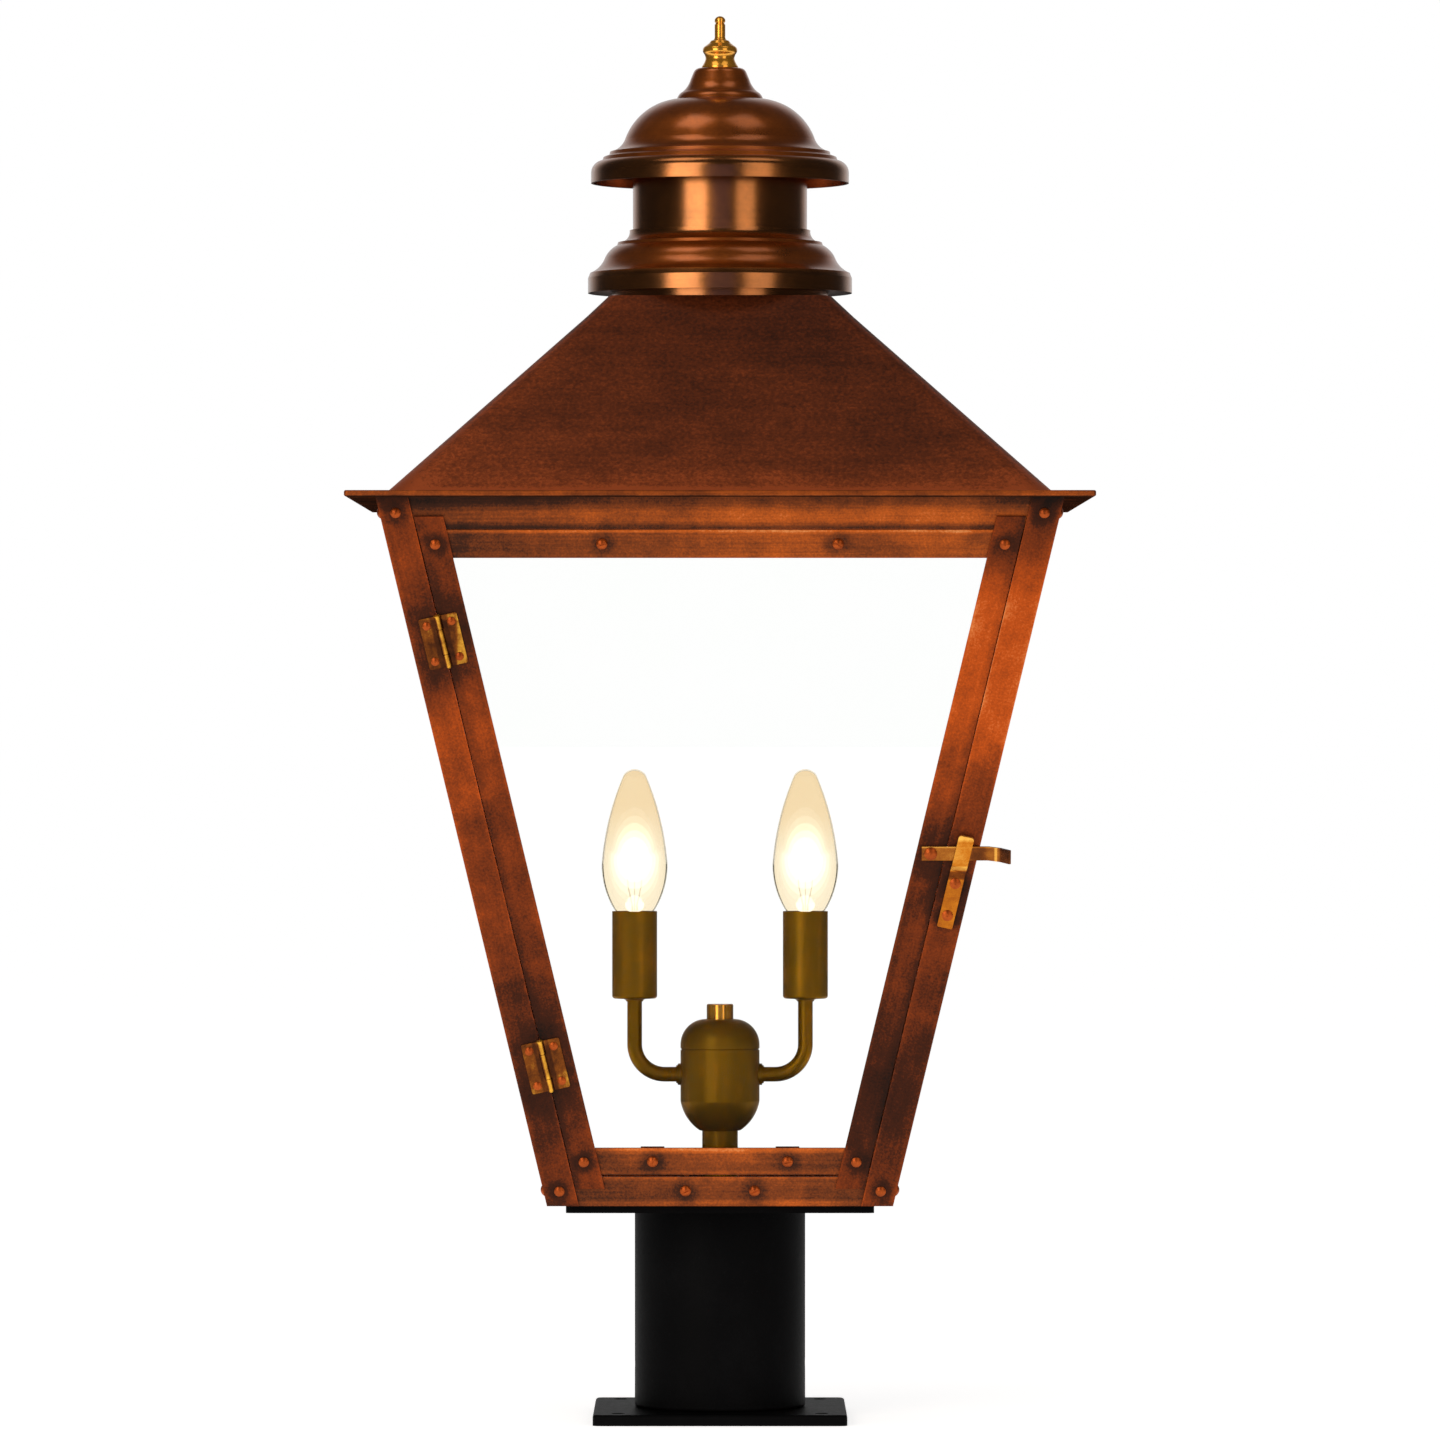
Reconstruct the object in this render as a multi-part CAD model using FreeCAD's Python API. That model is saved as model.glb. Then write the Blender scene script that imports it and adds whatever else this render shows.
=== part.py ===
import FreeCAD, Part

import math
import os

# Post top lantern: a copper sheet-metal body that tapers downwards, glazed on four sides,
# with a hinged front door, a hipped roof, a spun chimney and cap, and two candle lamps on
# a central cluster.  It stands on a cast fitter that slips over a round post.
# Millimetres.  +Z is up, the door faces -Y, the origin is the middle of the base underside.

V = FreeCAD.Vector
UP = V(0, 0, 1)

# ---------------------------------------------------------------- driving dimensions
# Post fitter
POST_DIA = 76.2
POST_CLEARANCE = 0.4
SLEEVE_WALL = 5.5
SLEEVE_LENGTH = 93.6
STOP_LENGTH = 11.3
STOP_LEDGE = 5.5
BASE_SIDE = 130.0
BASE_THICK = 5.6
BASE_CORNER_R = 4.0
BASE_EDGE_R = 1.5
ANCHOR_SPACING = 104.0
ANCHOR_HOLE_DIA = 7.0
RING_HEIGHT = 10.1
RING_EDGE_R = 1.6
SPIGOT_HEIGHT = 8.0
SPIGOT_WALL = 2.4
SET_SCREW_DIA = 6.0
SET_SCREW_RISE = 4.3
SET_SCREW_TURNS = (0, 90, 180)
PLATE_INSET = 9.4
PLATE_THICK = 4.0
PLATE_CORNER_R = 3.0
FLOOR_SCREW_DIA = 4.0
FLOOR_SCREW_HEAD = (7.2, 2.4)
FLOOR_SCREW_INSET = 5.0
FLOOR_SCREW_PITCH = 76.0

# Lantern body
SHEET = 1.2
BODY_HEIGHT = 358.0
BODY_BASE_HALF = 87.8
BODY_TOP_HALF = 171.8
POST_FLANGE = 16.2
HEADER_HEIGHT = 16.0
SILL_HEIGHT = 15.2
HEADER_LIP = 15.0
SILL_LIP = 19.0
MITRE_GAP = 0.2
PAN_WALL = 10.0
PAN_GAP = 0.1

# Door
SEAM = 0.6
DOOR_PROUD = 0.3
STILE_WIDTH = 14.6
STILE_LAP = 6.8
TOP_RAIL_HEIGHT = 14.0
BOTTOM_RAIL_HEIGHT = 13.7
RAIL_GAP = 0.6
RAIL_INSET = 1.0

# Glass
GLASS = 3.0
PANE_LAP = 5.5
DOOR_GLASS_LAP = 3.5
DOOR_GLASS_INSET = 2.0
PANE_CORNER_GAP = 0.6
CLIP_WIDTH = 12.0
CLIP_SHEET = 0.8
CLIP_FOOT = 6.0
CLIP_TONGUE = 3.2
CLIP_CLEARANCE = 0.2
HOOK_ABOVE = 5.0
HOOK_BELOW = 6.0

# Rivets and screws: head diameter, head height, shank diameter
FRAME_RIVET = (5.2, 1.5, 2.6)
HINGE_RIVET = (4.3, 1.1, 2.0)
KEEPER_RIVET = (5.6, 1.3, 2.4)
DOOR_SCREW = (5.6, 1.9, 2.6)
SLOT_WIDTH = 0.9
SLOT_DEPTH = 0.8
SLOT_TURNS = (18, -32, 64, 8)
SILL_SLOT_TURN = 25
TAIL_HEIGHT = 0.6
HOLE_CLEARANCE = 0.1
THREAD_GAP = 0.02
TOP_SCREW_PITCH = 118.0
BOTTOM_SCREW_PITCH = 68.4
SILL_SCREW_PITCH = 35.0

# Hinges
HINGE_LENGTH = 26.4
HINGE_LEAF = 9.8
HINGE_SHEET = 0.8
HINGE_CORNER_R = 1.0
HINGE_RIVET_OUT = 6.3
HINGE_RIVET_END = 3.9
KNUCKLE_DIA = 3.2
HINGE_PIN_DIA = 1.6
HINGE_PIN_RUN = 0.05
HINGE_PIN_HEAD = (3.5, 1.2)
HINGE_PIN_TAIL = 0.5
HINGE_AXIS_OUT = 2.2
END_KNUCKLE = 6.5
KNUCKLE_GAP = 0.3
UPPER_HINGE_DROP = 71.7
LOWER_HINGE_RISE = 72.0

# Latch: the strap, then the keeper by its distances along the post from the strap's middle
LATCH_RISE = 179.9
LATCH_BAR = 7.1
LATCH_SHEET = 1.2
LATCH_STANDOFF = 0.3
LATCH_TAIL = 4.5
PIVOT_DIA = 3.0
PIVOT_RUN = 0.05
PIVOT_HEAD = (6.5, 1.8)
TAB_OVERHANG = 5.0
TAB_LENGTHS = (7.0, 7.0)
TAB_ANGLES = (28.0, 46.0)
BEND_R = 0.8
KEEPER_WIDTH = 7.8
KEEPER_SHEET = 1.2
KEEPER_STANDOFF = 2.6
KEEPER_ABOVE = 9.7
KEEPER_LIP = 2.0
KEEPER_LIP_OUT = 0.6
KEEPER_BEND_TOP = 6.1
KEEPER_BEND_LOW = 9.5
KEEPER_BELOW = 39.7
KEEPER_TOP_R = 1.5
KEEPER_LOW_R = 0.9
KEEPER_RIVETS_BELOW = (16.0, 33.1)

# Eave and roof
EAVE_OVERHANG = 15.2
EAVE_THICK = 3.0
EAVE_EDGE_R = 0.9
EAVE_CORNER_R = 2.0
ROOF_STEP_IN = 5.4
ROOF_HEIGHT = 102.7
ROOF_DECK_EDGE = 0.7
ROOF_BREAK_RUN = 11.3
ROOF_BREAK_DROP = 11.2
ROOF_BASE_R = 12.0
ROOF_TOP_R = 9.0
ROOF_SCREW_DIA = 3.0
ROOF_SCREW_HEAD = (5.0, 1.6)
ROOF_SCREW_NUT = (5.5, 2.4)
ROOF_SCREW_PITCH = 200.0
EAVE_SCREW_EDGE = 2.6
ROOF_SCREW_EDGE = 5.2

# Chimney
NECK_DIA = 90.0
SPUN_SHEET = 1.2
NECK_HEIGHT = 75.0
NECK_FOOT = 7.0
COLLAR_OVERHANG = 23.2
COLLAR_FOOT_OUT = 11.0
COLLAR_FOOT_HEIGHT = 3.4
COLLAR_RIM = 7.7
COLLAR_OGEE = 24.7
COLLAR_LIP = 1.6
CAP_OVERHANG = 21.6
CAP_ABOVE_NECK = 28.8
CAP_CROWN_DIA = 42.0
CAP_DOME = 38.4
CAP_BRIM = 5.2
BRIDGE_DROP = 6.0
BRIDGE_WIDTH = 12.0
BRIDGE_SHEET = 1.5
BRIDGE_TAB = 10.0
ROD_DIA = 5.0
ROD_TAIL = 8.0
ROD_NUT = (8.0, 4.0)
SEAT_DIA = 44.4
SEAT_HEIGHT = 15.9
FINIAL_HEIGHT = 26.9
FINIAL_THREAD = 10.0

# Lamp cluster
LAMP_SPREAD = 88.2
ARM_DIA = 7.6
ARM_BORE_DIA = 5.0
ARM_BEND_R = 15.5
ARM_COLLAR = (11.1, 1.4)
ARM_COLLAR_STEP = (9.4, 0.8)
ARM_NUT = (11.0, 3.0)
HUB_RISE = 34.9
HUB_DIA = 40.8
HUB_WALL = 1.6
HUB_CUP = 41.5
HUB_DOME = 15.9
HUB_ARM_RISE = 28.9
HUB_NUT = (13.7, 7.8)
STEM_DIA = 18.4
STEM_BORE_DIA = 12.0
STEM_NUT = (26.0, 5.0)
STEM_TAIL = 4.0
NIPPLE_DIA = 9.6
COVER_RISE = 39.9
COVER_DIA = 23.2
COVER_WALL = 0.8
COVER_HEIGHT = 44.3
CUP_DIA = 11.4
CUP_HEIGHT = 2.2
SOCKET_DIA = 19.4
SOCKET_FLOOR = 5.0
SOCKET_HEIGHT = 24.0
BULB_BASE_DIA = 11.8
BULB_BASE_HEIGHT = 20.0
BULB_THREADS = 5
BULB_THREAD_PITCH = 2.6
BULB_THREAD_DEPTH = 0.7
BULB_RUN = 0.4
BULB_DIA = 34.0
BULB_NECK_DIA = 20.4
BULB_ABOVE_COVER = 73.4
BULB_WIDE_ABOVE = 24.3
BULB_GLASS = 0.8
FILAMENT_STEM_DIA = 3.4
FILAMENT_STEM = 20.0
LEAD_DIA = 0.9
LEAD_LENGTH = 26.0
LEAD_SPREAD = 3.0
COIL_DIA = 1.4
COIL_LENGTH = 22.0

# ---------------------------------------------------------------- derived places
BORE_R = POST_DIA / 2 + POST_CLEARANCE
SLEEVE_R = BORE_R + SLEEVE_WALL
SLEEVE_LOW = BASE_THICK + RING_HEIGHT
SET_SCREW_Z = SLEEVE_LOW + SPIGOT_HEIGHT + SET_SCREW_RISE
PLATE_LOW = SLEEVE_LOW + SLEEVE_LENGTH
POST_DEPTH = PLATE_LOW - STOP_LENGTH
BODY_LOW = PLATE_LOW + PLATE_THICK
BODY_TOP = BODY_LOW + BODY_HEIGHT
LEAN = (BODY_TOP_HALF - BODY_BASE_HALF) / BODY_HEIGHT
LEAN_ANGLE = math.atan(LEAN)
SIN_LEAN = math.sin(LEAN_ANGLE)
COS_LEAN = math.cos(LEAN_ANGLE)
EDGE_TILT = math.degrees(math.atan(SIN_LEAN))
SHEET_ACROSS = SHEET / COS_LEAN
PLATE_SIDE = 2 * (BODY_BASE_HALF - PLATE_INSET)
HEADER_LOW = BODY_TOP - HEADER_HEIGHT
SILL_TOP = BODY_LOW + SILL_HEIGHT
TOP_RAIL_TOP = HEADER_LOW - RAIL_GAP
TOP_RAIL_LOW = TOP_RAIL_TOP - TOP_RAIL_HEIGHT
BOTTOM_RAIL_LOW = SILL_TOP + RAIL_GAP
BOTTOM_RAIL_TOP = BOTTOM_RAIL_LOW + BOTTOM_RAIL_HEIGHT
DOOR_GLASS_LOW = BOTTOM_RAIL_TOP - DOOR_GLASS_LAP
DOOR_GLASS_TOP = TOP_RAIL_LOW + DOOR_GLASS_LAP
GLASS_FRONT = -2 * SHEET
PAN_LOW = BODY_LOW + SHEET
HINGE_HEIGHTS = (BODY_TOP - UPPER_HINGE_DROP, BODY_LOW + LOWER_HINGE_RISE)
LATCH_Z = BODY_LOW + LATCH_RISE
ROOF_LOW = BODY_TOP + EAVE_THICK
ROOF_TOP = ROOF_LOW + ROOF_HEIGHT
ROOF_SCREW_LINE = BODY_TOP_HALF - SHEET_ACROSS - HEADER_LIP + ROOF_SCREW_DIA
NECK_R = NECK_DIA / 2
NECK_TOP = ROOF_TOP + NECK_HEIGHT
COLLAR_R = NECK_R + COLLAR_OVERHANG
COLLAR_FOOT_R = NECK_R + COLLAR_FOOT_OUT
ROOF_BASE_HALF = BODY_TOP_HALF - ROOF_STEP_IN
ROOF_TOP_HALF = COLLAR_FOOT_R + ROOF_DECK_EDGE
ROOF_BREAK_HALF = ROOF_TOP_HALF + ROOF_BREAK_RUN
CAP_R = NECK_R + CAP_OVERHANG
CAP_CROWN = NECK_TOP + CAP_ABOVE_NECK
CAP_LOW = CAP_CROWN - CAP_DOME - CAP_BRIM
BRIDGE_LOW = NECK_TOP - BRIDGE_DROP
FINIAL_LOW = CAP_CROWN + SEAT_HEIGHT
LAMP_X = LAMP_SPREAD / 2
HUB_LOW = BODY_LOW + HUB_RISE
HUB_SEAM = HUB_LOW + HUB_CUP
HUB_TOP = HUB_SEAM + HUB_DOME
ARM_Z = HUB_LOW + HUB_ARM_RISE
COVER_LOW = ARM_Z + COVER_RISE
COVER_TOP = COVER_LOW + COVER_HEIGHT
SOCKET_TOP = COVER_LOW + SOCKET_HEIGHT
BULB_BASE_LOW = COVER_LOW + SOCKET_FLOOR + BULB_RUN
BULB_BASE_TOP = BULB_BASE_LOW + BULB_BASE_HEIGHT
BULB_TIP = COVER_TOP + BULB_ABOVE_COVER
BULB_WIDE = COVER_TOP + BULB_WIDE_ABOVE
BULB_SEAT = BULB_BASE_TOP - 2.0
RIVET_INSET = POST_FLANGE / 2


# ---------------------------------------------------------------- geometry helpers
def box(x0, x1, y0, y1, z0, z1):
    return Part.makeBox(x1 - x0, y1 - y0, z1 - z0, V(x0, y0, z0))


def rod(radius, z0, z1, x=0.0, y=0.0):
    return Part.makeCylinder(radius, z1 - z0, V(x, y, z0), UP)


def tube(outer, inner, z0, z1, x=0.0, y=0.0):
    return rod(outer, z0, z1, x, y).cut(rod(inner, z0, z1, x, y))


def polygon(points):
    corners = [V(*p) for p in points]
    return Part.Face(Part.makePolygon(corners + corners[:1]))


def hexagon(flats, z0, z1, bore_r=0.0, x=0.0, y=0.0):
    radius = flats / math.sqrt(3)
    turns = [math.radians(60 * i + 30) for i in range(6)]
    face = polygon([(x + radius * math.cos(t), y + radius * math.sin(t), z0) for t in turns])
    nut = face.extrude(V(0, 0, z1 - z0))
    if bore_r:
        nut = nut.cut(rod(bore_r, z0, z1, x, y))
    return nut


def outline_edges(start, steps, close):
    """A step of two numbers is a straight line to (r, z); one of four is an arc by way of
    its first point."""
    edges = []
    here = V(start[0], 0, start[1])
    first = here
    for step in steps:
        end = V(step[-2], 0, step[-1])
        if len(step) == 4:
            edges.append(Part.Arc(here, V(step[0], 0, step[1]), end).toShape())
        else:
            edges.append(Part.LineSegment(here, end).toShape())
        here = end
    if close:
        edges.append(Part.LineSegment(here, first).toShape())
    return edges


def turned(start, *steps):
    """A solid of revolution about Z from a closed (r, z) outline."""
    wire = Part.Wire(outline_edges(start, steps, True))
    return Part.Face(wire).revolve(V(0, 0, 0), UP, 360)


def dome(radius, z, height):
    """The arc step of a spherical cap that closes on the axis."""
    ball_r = (radius ** 2 + height ** 2) / (2 * height)
    half_turn = math.asin(min(1.0, radius / ball_r)) / 2
    top = z + height
    return (ball_r * math.sin(half_turn), top - ball_r * (1 - math.cos(half_turn)), 0, top)


def spun(wall, z_low, start, *steps):
    """A spun shell open below: the outline from the crown's edge down to the rim."""
    def filled(shift, floor):
        moved = [tuple(c - shift for c in step) for step in steps]
        top = (start[0] - shift, start[1] - shift)
        rim = moved[-1][-2]
        walk = [top] + moved + [(rim, floor), (0, floor)]
        return turned((0, top[1]), *walk)
    return filled(0.0, z_low).cut(filled(wall, z_low - 5 * wall))


def rounded_square(half, radius, z):
    """A closed wire of four sides and four corner arcs, in step for lofting."""
    k = radius * (1 - math.sqrt(0.5))
    edges = []
    for i in range(4):
        turn = FreeCAD.Rotation(UP, 90 * i)
        a = turn.multVec(V(half, -half + radius, z))
        b = turn.multVec(V(half, half - radius, z))
        mid = turn.multVec(V(half - k, half - k, z))
        c = turn.multVec(V(half - radius, half, z))
        edges.append(Part.LineSegment(a, b).toShape())
        edges.append(Part.Arc(b, mid, c).toShape())
    return Part.Wire(edges)


def rounded_plate(side, radius, z0, thick):
    face = Part.Face(rounded_square(side / 2, radius, z0))
    return face.extrude(V(0, 0, thick))


def turned_about_z(shape, degrees):
    copy = shape.copy()
    copy.rotate(V(0, 0, 0), UP, degrees)
    return copy


def four_ways(shape):
    return [turned_about_z(shape, 90 * i) for i in range(4)]


def fuse_all(shapes):
    return shapes[0].multiFuse(shapes[1:]).removeSplitter()


def save(name, shapes):
    """One node: a single solid, or a group of separate solids."""
    group = shapes if isinstance(shapes, list) else [shapes]
    solids = [solid for shape in group for solid in shape.Solids]
    whole = solids[0] if len(solids) == 1 else Part.Compound(solids)
    whole.exportStep("parts/" + name + ".step")


# ---------------------------------------------------------------- the leaning faces
# On a face, u runs across, v up the slope and n outwards from the sheet's outer surface.
FRONT = FreeCAD.Placement(
    V(0, -BODY_BASE_HALF, BODY_LOW),
    FreeCAD.Rotation(V(1, 0, 0), V(0, -SIN_LEAN, COS_LEAN), V(0, -COS_LEAN, -SIN_LEAN)))
DOOR_FACE = FRONT.multiply(FreeCAD.Placement(V(0, 0, DOOR_PROUD), FreeCAD.Rotation()))


def slope(z):
    """The distance v up the slope at a height z."""
    return (z - BODY_LOW) / COS_LEAN


def half_at(z):
    """Half the body's outside width at a height z."""
    return BODY_BASE_HALF + LEAN * (z - BODY_LOW)


def placed(shape, placement):
    copy = shape.copy()
    copy.Placement = placement.multiply(copy.Placement)
    return copy


def slab(z0, z1, edge_gap, n0, n1):
    """A sheet on a face between two heights, set in from both corner edges."""
    a = half_at(z0) - edge_gap
    b = half_at(z1) - edge_gap
    face = polygon([(-a, slope(z0), n0), (a, slope(z0), n0), (b, slope(z1), n0), (-b, slope(z1), n0)])
    return face.extrude(V(0, 0, n1 - n0))


def strip(z0, z1, outer_gap, inner_gap, n0, n1, side):
    """A sheet that follows the left (-1) or right (+1) corner edge."""
    points = [(half_at(z0) - outer_gap, slope(z0)), (half_at(z0) - inner_gap, slope(z0)),
              (half_at(z1) - inner_gap, slope(z1)), (half_at(z1) - outer_gap, slope(z1))]
    face = polygon([(side * u, v, n0) for u, v in points])
    return face.extrude(V(0, 0, n1 - n0))


def hole(diameter, u, v, n0, n1):
    return Part.makeCylinder(diameter / 2 + HOLE_CLEARANCE, n1 - n0, V(u, v, n0), UP)


def at(shape, u, v, n=0.0):
    copy = shape.copy()
    copy.translate(V(u, v, n))
    return copy


def dome_rivet(kind, grip):
    """A domed rivet with its head's seat at n = 0 and its tail formed behind the grip."""
    head_dia, head_height, shank_dia = kind
    head_r = head_dia / 2
    tail_r = head_r * 0.72
    side = 0.3 * head_height
    head = turned((0, 0), (head_r, 0), (head_r, side), dome(head_r, side, head_height - side))
    shank = rod(shank_dia / 2, -grip - TAIL_HEIGHT / 2, 0)
    tail = rod(tail_r, -grip - TAIL_HEIGHT, -grip)
    return fuse_all([head, shank, tail])


def slotted_screw(kind, grip, slot_turn):
    """A round-head screw with a slot, its tail peened flat."""
    screw = dome_rivet(kind, grip)
    reach = kind[0]
    slot = box(-reach, reach, -SLOT_WIDTH / 2, SLOT_WIDTH / 2, kind[1] - SLOT_DEPTH, kind[1] + 1)
    slot.rotate(V(0, 0, 0), UP, slot_turn)
    return screw.cut(slot)


# ---------------------------------------------------------------- post fitter
def anchor_points():
    a = ANCHOR_SPACING / 2
    return [(-a, -a), (a, -a), (a, a), (-a, a)]


def base_flange():
    """A square foot plate, bored for the post, with four anchor holes."""
    plate = rounded_plate(BASE_SIDE, BASE_CORNER_R, 0, BASE_THICK)
    plate = plate.makeFillet(BASE_EDGE_R, [e for e in plate.Edges if e.BoundBox.ZMin > BASE_THICK - 0.01])
    plate = plate.cut(rod(BORE_R, -1, BASE_THICK + 1))
    for x, y in anchor_points():
        plate = plate.cut(rod(ANCHOR_HOLE_DIA / 2, -1, BASE_THICK + 1, x, y))
    return plate


def foot_ring():
    """The ring welded on the foot plate, with a spigot that locates the sleeve."""
    low = BASE_THICK
    spigot_r = BORE_R + SPIGOT_WALL
    edge = RING_EDGE_R
    k = edge * (1 - math.sqrt(0.5))
    return turned((BORE_R, low), (SLEEVE_R - edge, low), (SLEEVE_R - k, low + k, SLEEVE_R, low + edge),
                  (SLEEVE_R, SLEEVE_LOW), (spigot_r, SLEEVE_LOW), (spigot_r, SLEEVE_LOW + SPIGOT_HEIGHT),
                  (BORE_R, SLEEVE_LOW + SPIGOT_HEIGHT))


def set_screw():
    """A headless screw through the sleeve wall, flush outside."""
    return Part.makeCylinder(SET_SCREW_DIA / 2, SLEEVE_WALL - 2 * HOLE_CLEARANCE,
                             V(BORE_R + HOLE_CLEARANCE, 0, SET_SCREW_Z), V(1, 0, 0))


def post_sleeve():
    """The sleeve stands on the ring; a shoulder inside it rests on the post's end."""
    body = rod(SLEEVE_R, SLEEVE_LOW, PLATE_LOW).cut(rod(BORE_R, SLEEVE_LOW - 1, POST_DEPTH))
    body = body.cut(rod(BORE_R - STOP_LEDGE, SLEEVE_LOW - 1, PLATE_LOW + 1))
    seat_r = BORE_R + SPIGOT_WALL + HOLE_CLEARANCE
    body = body.cut(rod(seat_r, SLEEVE_LOW - 1, SLEEVE_LOW + SPIGOT_HEIGHT + HOLE_CLEARANCE))
    drill = Part.makeCylinder(SET_SCREW_DIA / 2 + HOLE_CLEARANCE / 2, 2 * SLEEVE_WALL,
                              V(BORE_R - SLEEVE_WALL / 2, 0, SET_SCREW_Z), V(1, 0, 0))
    for turn in SET_SCREW_TURNS:
        body = body.cut(turned_about_z(drill, turn))
    return body


def floor_screw_points():
    x = PLATE_SIDE / 2 - FLOOR_SCREW_INSET
    y = FLOOR_SCREW_PITCH / 2
    return [(sx * x, sy * y) for sx in (-1, 1) for sy in (-1, 1)]


def top_plate():
    plate = rounded_plate(PLATE_SIDE, PLATE_CORNER_R, PLATE_LOW, PLATE_THICK)
    plate = plate.cut(rod(STEM_DIA / 2 + HOLE_CLEARANCE, PLATE_LOW - 1, BODY_LOW + 1))
    for x, y in floor_screw_points():
        plate = plate.cut(rod((FLOOR_SCREW_DIA + HOLE_CLEARANCE) / 2, PLATE_LOW - 1, BODY_LOW + 1, x, y))
    return plate


def floor_screws():
    """Pan-head screws from inside the lantern, through pan and sill lip into the plate."""
    seat = PAN_LOW + SHEET
    head_dia, head_height = FLOOR_SCREW_HEAD
    screws = []
    for x, y in floor_screw_points():
        head = rod(head_dia / 2, seat, seat + head_height, x, y)
        shank = rod(FLOOR_SCREW_DIA / 2, PLATE_LOW + HOLE_CLEARANCE, seat + head_height / 2, x, y)
        screws.append(fuse_all([head, shank]))
    return screws


# ---------------------------------------------------------------- body frame
def mitre_wedge():
    """The quarter of space in front of both diagonals, less a small gap at the mitres."""
    far = 2 * BODY_TOP_HALF
    face = polygon([(0, -MITRE_GAP, 0), (-far, -far - MITRE_GAP, 0), (far, -far - MITRE_GAP, 0)])
    return face.extrude(V(0, 0, 2 * BODY_TOP))


def rail_section(points):
    """A front rail from its (y, z) section, mitred at both ends."""
    reach = 1.2 * BODY_TOP_HALF
    face = polygon([(-reach, y, z) for y, z in points])
    return face.extrude(V(2 * reach, 0, 0)).common(mitre_wedge())


def header_rail():
    out_low = -half_at(HEADER_LOW) + SHEET_ACROSS
    out_top = -BODY_TOP_HALF + SHEET_ACROSS
    under = BODY_TOP - SHEET
    in_under = -half_at(under) + 2 * SHEET_ACROSS
    rail = rail_section([
        (out_low, HEADER_LOW), (out_top, BODY_TOP), (out_top + HEADER_LIP, BODY_TOP),
        (out_top + HEADER_LIP, under), (in_under, under), (out_low + SHEET_ACROSS, HEADER_LOW)])
    for p in roof_screw_points()[:2]:
        rail = rail.cut(rod(ROOF_SCREW_DIA / 2 + HOLE_CLEARANCE, under - 1, BODY_TOP + 1, p.x, p.y))
    return rail.cut(placed(corner_rivet_holes(), FRONT))


def sill_rail():
    out_low = -BODY_BASE_HALF + SHEET_ACROSS
    out_top = -half_at(SILL_TOP) + SHEET_ACROSS
    over = BODY_LOW + SHEET
    in_over = -half_at(over) + 2 * SHEET_ACROSS
    rail = rail_section([
        (out_low, BODY_LOW), (out_top, SILL_TOP), (out_top + SHEET_ACROSS, SILL_TOP),
        (in_over, over), (out_low + SILL_LIP, over), (out_low + SILL_LIP, BODY_LOW)])
    rail = rail.cut(placed(corner_rivet_holes(), FRONT))
    rail = rail.cut(placed(sill_screw_holes(), FRONT))
    for x, y in floor_screw_points():
        drill = rod(FLOOR_SCREW_DIA / 2 + HOLE_CLEARANCE, BODY_LOW - 1, over + 1, x, y)
        rail = rail.cut(turned_about_z(drill, 90))
    return rail


def corner_rivet_spots():
    """Where the posts are riveted to header and sill, in u and v."""
    spots = []
    for z in ((HEADER_LOW + BODY_TOP) / 2, (BODY_LOW + SILL_TOP) / 2):
        for side in (-1, 1):
            spots.append((side * (half_at(z) - RIVET_INSET), slope(z)))
    return spots


def corner_rivet_holes():
    dia = FRAME_RIVET[2]
    return Part.Compound([hole(dia, u, v, -3 * SHEET, 1) for u, v in corner_rivet_spots()])


def sill_screw_spots():
    v = slope((BODY_LOW + SILL_TOP) / 2)
    return [(-SILL_SCREW_PITCH / 2, v), (SILL_SCREW_PITCH / 2, v)]


def sill_screw_holes():
    return Part.Compound([hole(DOOR_SCREW[2], u, v, -4 * SHEET, 1) for u, v in sill_screw_spots()])


def corner_post(side):
    """An angle post at the front corner on one side, its flanges in the outer layer."""
    a = BODY_BASE_HALF
    w = POST_FLANGE
    t = SHEET_ACROSS
    points = [(a, -a), (a, -a + w), (a - t, -a + w), (a - t, -a + t), (a - w, -a + t), (a - w, -a)]
    face = polygon([(side * x, y, BODY_LOW) for x, y in points])
    rise = BODY_TOP_HALF - BODY_BASE_HALF
    post = face.extrude(V(side * rise, -rise, BODY_HEIGHT))
    drills = placed(corner_rivet_holes(), FRONT)
    post = post.cut(drills)
    return post.cut(turned_about_z(drills, 90 * side))


def hinge_holes(face_side):
    """Rivet holes of both hinges on one leaf's side."""
    drills = []
    for z in HINGE_HEIGHTS:
        for x, y in hinge_rivet_spots(face_side):
            drill = hole(HINGE_RIVET[2], x, y, -3 * SHEET, 3)
            drills.append(placed(drill, hinge_place(z)))
    return Part.Compound(drills)


def floor_pan():
    """A folded tray that stands on the sill lips, its walls against the sills."""
    low = PAN_LOW
    top = low + PAN_WALL
    gap = 2 * SHEET_ACROSS + PAN_GAP

    def block(z0, z1, inset):
        lower = polygon(square_points(half_at(z0) - inset, z0)).OuterWire
        upper = polygon(square_points(half_at(z1) - inset, z1)).OuterWire
        return Part.makeLoft([lower, upper], True, True)

    pan = block(low, top, gap).cut(block(low + SHEET, top + 1, gap + SHEET_ACROSS))
    pan = pan.cut(rod(STEM_DIA / 2 + HOLE_CLEARANCE, low - 1, low + SHEET + 1))
    for x, y in floor_screw_points():
        pan = pan.cut(rod(FLOOR_SCREW_DIA / 2 + HOLE_CLEARANCE, low - 1, low + SHEET + 1, x, y))
    spots = corner_rivet_spots()[2:]
    relief = [hole(FRAME_RIVET[0], u, v, -6 * SHEET, 1) for u, v in spots]
    for drills in four_ways(placed(Part.Compound([sill_screw_holes()] + relief), FRONT)):
        pan = pan.cut(drills)
    return pan


def square_points(half, z):
    return [(-half, -half, z), (half, -half, z), (half, half, z), (-half, half, z)]


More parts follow.
